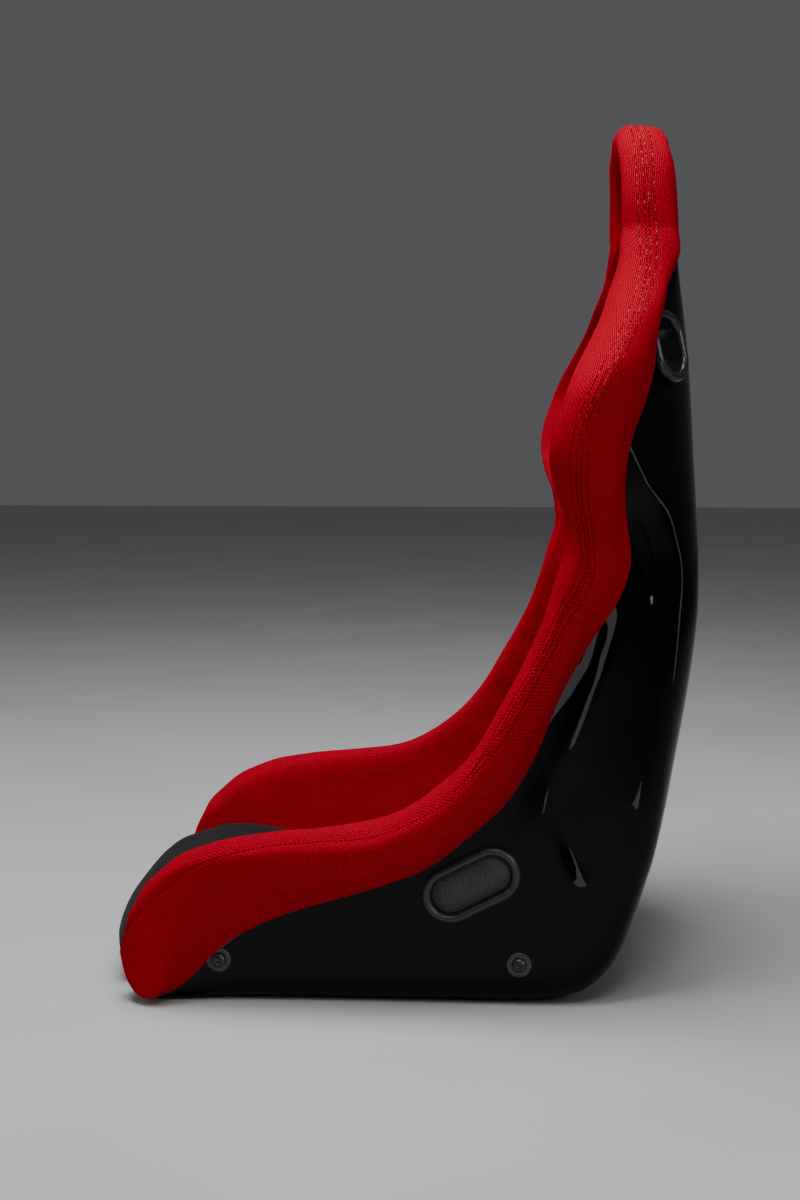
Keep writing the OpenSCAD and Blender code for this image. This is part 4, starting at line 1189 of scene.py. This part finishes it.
lip = STATIONS[0, :2] * MM
foot = float(STATIONS[0, 9]) * MM
cuts = []
for y0, z0, y1, z1 in NOSE:
    base, face = np.array([0, lip[0] + y0, lip[1] + z0]), np.array([0, lip[0] + y1, lip[1] + z1])
    thick = np.linalg.norm(face - base) - SLACK
    cuts.append(pad_cut(base, unit(face - base), thick, foot - PAD_CLEAR - 0.002, 0.3))
for u in np.arange(1, 8.01, 0.25):
    half = float(column(9, u)) - PAD_CLEAR
    up = rise(np.array([u]))[0]
    cuts.append(pad_cut(pad_base(u), up, seat_thick(u) - SLACK, half - SLACK, 0.16, 0.003))
crotch_way = oval_block("way", CROTCH_RUN, CROTCH_R + CROTCH_RING + 0.002, -0.01, 0.2, CROTCH_PLACE)
pad_piece("seat_pad_cushion", cuts, 0.008, "seat_pad", "seat_cushion", [crotch_way])

cuts = []
for u in np.arange(9.5, 17.01, 0.25):
    t = (u - 9.5) / 7.5
    thick = (LUMBAR - 0.008) * (1 - t) + BACK_TOP * t + 0.008 * math.sin(math.pi * min(1, 1.6 * t))
    ends = 0.8 + 0.2 * smoothstep(0, 0.06, t) * (1 - smoothstep(0.95, 1, t))
    half = float(column(9, u)) - PAD_CLEAR
    up = rise(np.array([u]))[0]
    cuts.append(pad_cut(pad_base(u), up, ends * thick - SLACK, half - SLACK, 0.18))
pad_piece("back_pad_cushion", cuts, 0.006, "back_pad", "back_cushion")

foot = float(column(9, LAST))
top = CROWN_RISE * foot / HEAD_HALF - PAD_CLEAR - 0.002
up = outward(np.array([LAST + FAN]))[0]
forward = rise(np.array([float(LAST)]))[0]
cuts = []
for z in np.concatenate([np.linspace(-0.040, 0, 9), np.linspace(0, top, 12)[1:]]):
    half = (foot - PAD_CLEAR) * (math.sqrt(1 - (0.8 * z / top) ** 2) if z > 0 else 1)
    ends = 0.75 + 0.25 * smoothstep(-0.040, -0.032, z) * (1 - smoothstep(0.85 * top, top, z))
    cuts.append(pad_cut(pad_base(LAST) + z * up, forward, ends * HEAD_PAD - SLACK, half - SLACK, 0.2))
pad_piece("head_pad_cushion", cuts, 0.004, "head_pad", "head_cushion", voxel=0.004)

# ---- Studio ----
# A pale paper floor, four soft lights, and three lights that only the glossy pieces reflect: they
# draw the back edge of the shell, the crease at its hip and the sheen along its side.
EYE, YAW, PITCH, LENS = (1.9086, 0.1345, 0.5690), 0.0607, 0.1032, 54.79
PAPER = 9                       # half the width of the paper
look = Vector((-math.cos(PITCH) * math.cos(YAW), -math.cos(PITCH) * math.sin(YAW), -math.sin(PITCH)))
camera = stand("camera", bpy.data.cameras.new("camera"))
camera.data.lens = LENS
camera.location = EYE
camera.rotation_euler = look.to_track_quat("-Z", "Y").to_euler()
bpy.context.scene.camera = camera

paper, tree, shader = finish("pale_paper", Roughness=0.9)
vary(tree, shader, "Base Color", noise(tree, 3, 2), 0.3, 0.7, (0.53, 0.53, 0.53), (0.57, 0.57, 0.57))
corners = [(x * PAPER, y * PAPER, -0.001) for x, y in ((-1, -1), (1, -1), (1, 1), (-1, 1))]
floor = new_piece("floor", corners, [[0, 1, 2, 3]])
paint(floor, paper)

SOFT_LIGHTS = [   # name, place, aimed at, width, height, power
    ("overhead", (0.15, -0.25, 2.3), (0, 0, 0.4), 1.4, 1.4, 54),
    ("key", (0.9, 0.3, 1.3), (0.2, 0.25, 0.7), 0.45, 0.45, 4.2),
    ("front", (1.3, -1.9, 1.6), (0, 0, 0.5), 1.0, 1.0, 7),
    ("side", (2.2, 2.4, 1.6), (0, 0.1, 0.4), 0.6, 0.6, 7),
]
GLOSS_LIGHTS = [  # seen only as reflections
    ("back_strip", (0.42, 1.5, 0.75), (0.2, 0.3, 0.45), 0.12, 1.4, 1.4),
    ("hip_strip", (1.25, 0.51, 0.24), (0.2, 0.2, 0.25), 0.17, 0.46, 0.8),
    ("side_gloss", (2.2, 2.4, 1.6), (0, 0.1, 0.4), 0.7, 0.7, 24),
]
for light_row in SOFT_LIGHTS + GLOSS_LIGHTS:
    name, spot, aim, width, height, power = light_row
    light = stand(name, bpy.data.lights.new(name, "AREA"))
    light.data.shape = "RECTANGLE"
    light.data.size = width
    light.data.size_y = height
    light.data.energy = power
    light.location = spot
    light.rotation_euler = (Vector(aim) - Vector(spot)).to_track_quat("-Z", "Y").to_euler()
    light.visible_camera = False
    light.visible_diffuse = light_row in SOFT_LIGHTS
world = bpy.data.worlds.new("studio")
bpy.context.scene.world = world
world.use_nodes = True
world.node_tree.nodes["Background"].inputs["Color"].default_value = (0.9, 0.92, 0.95, 1)
world.node_tree.nodes["Background"].inputs["Strength"].default_value = 0.1
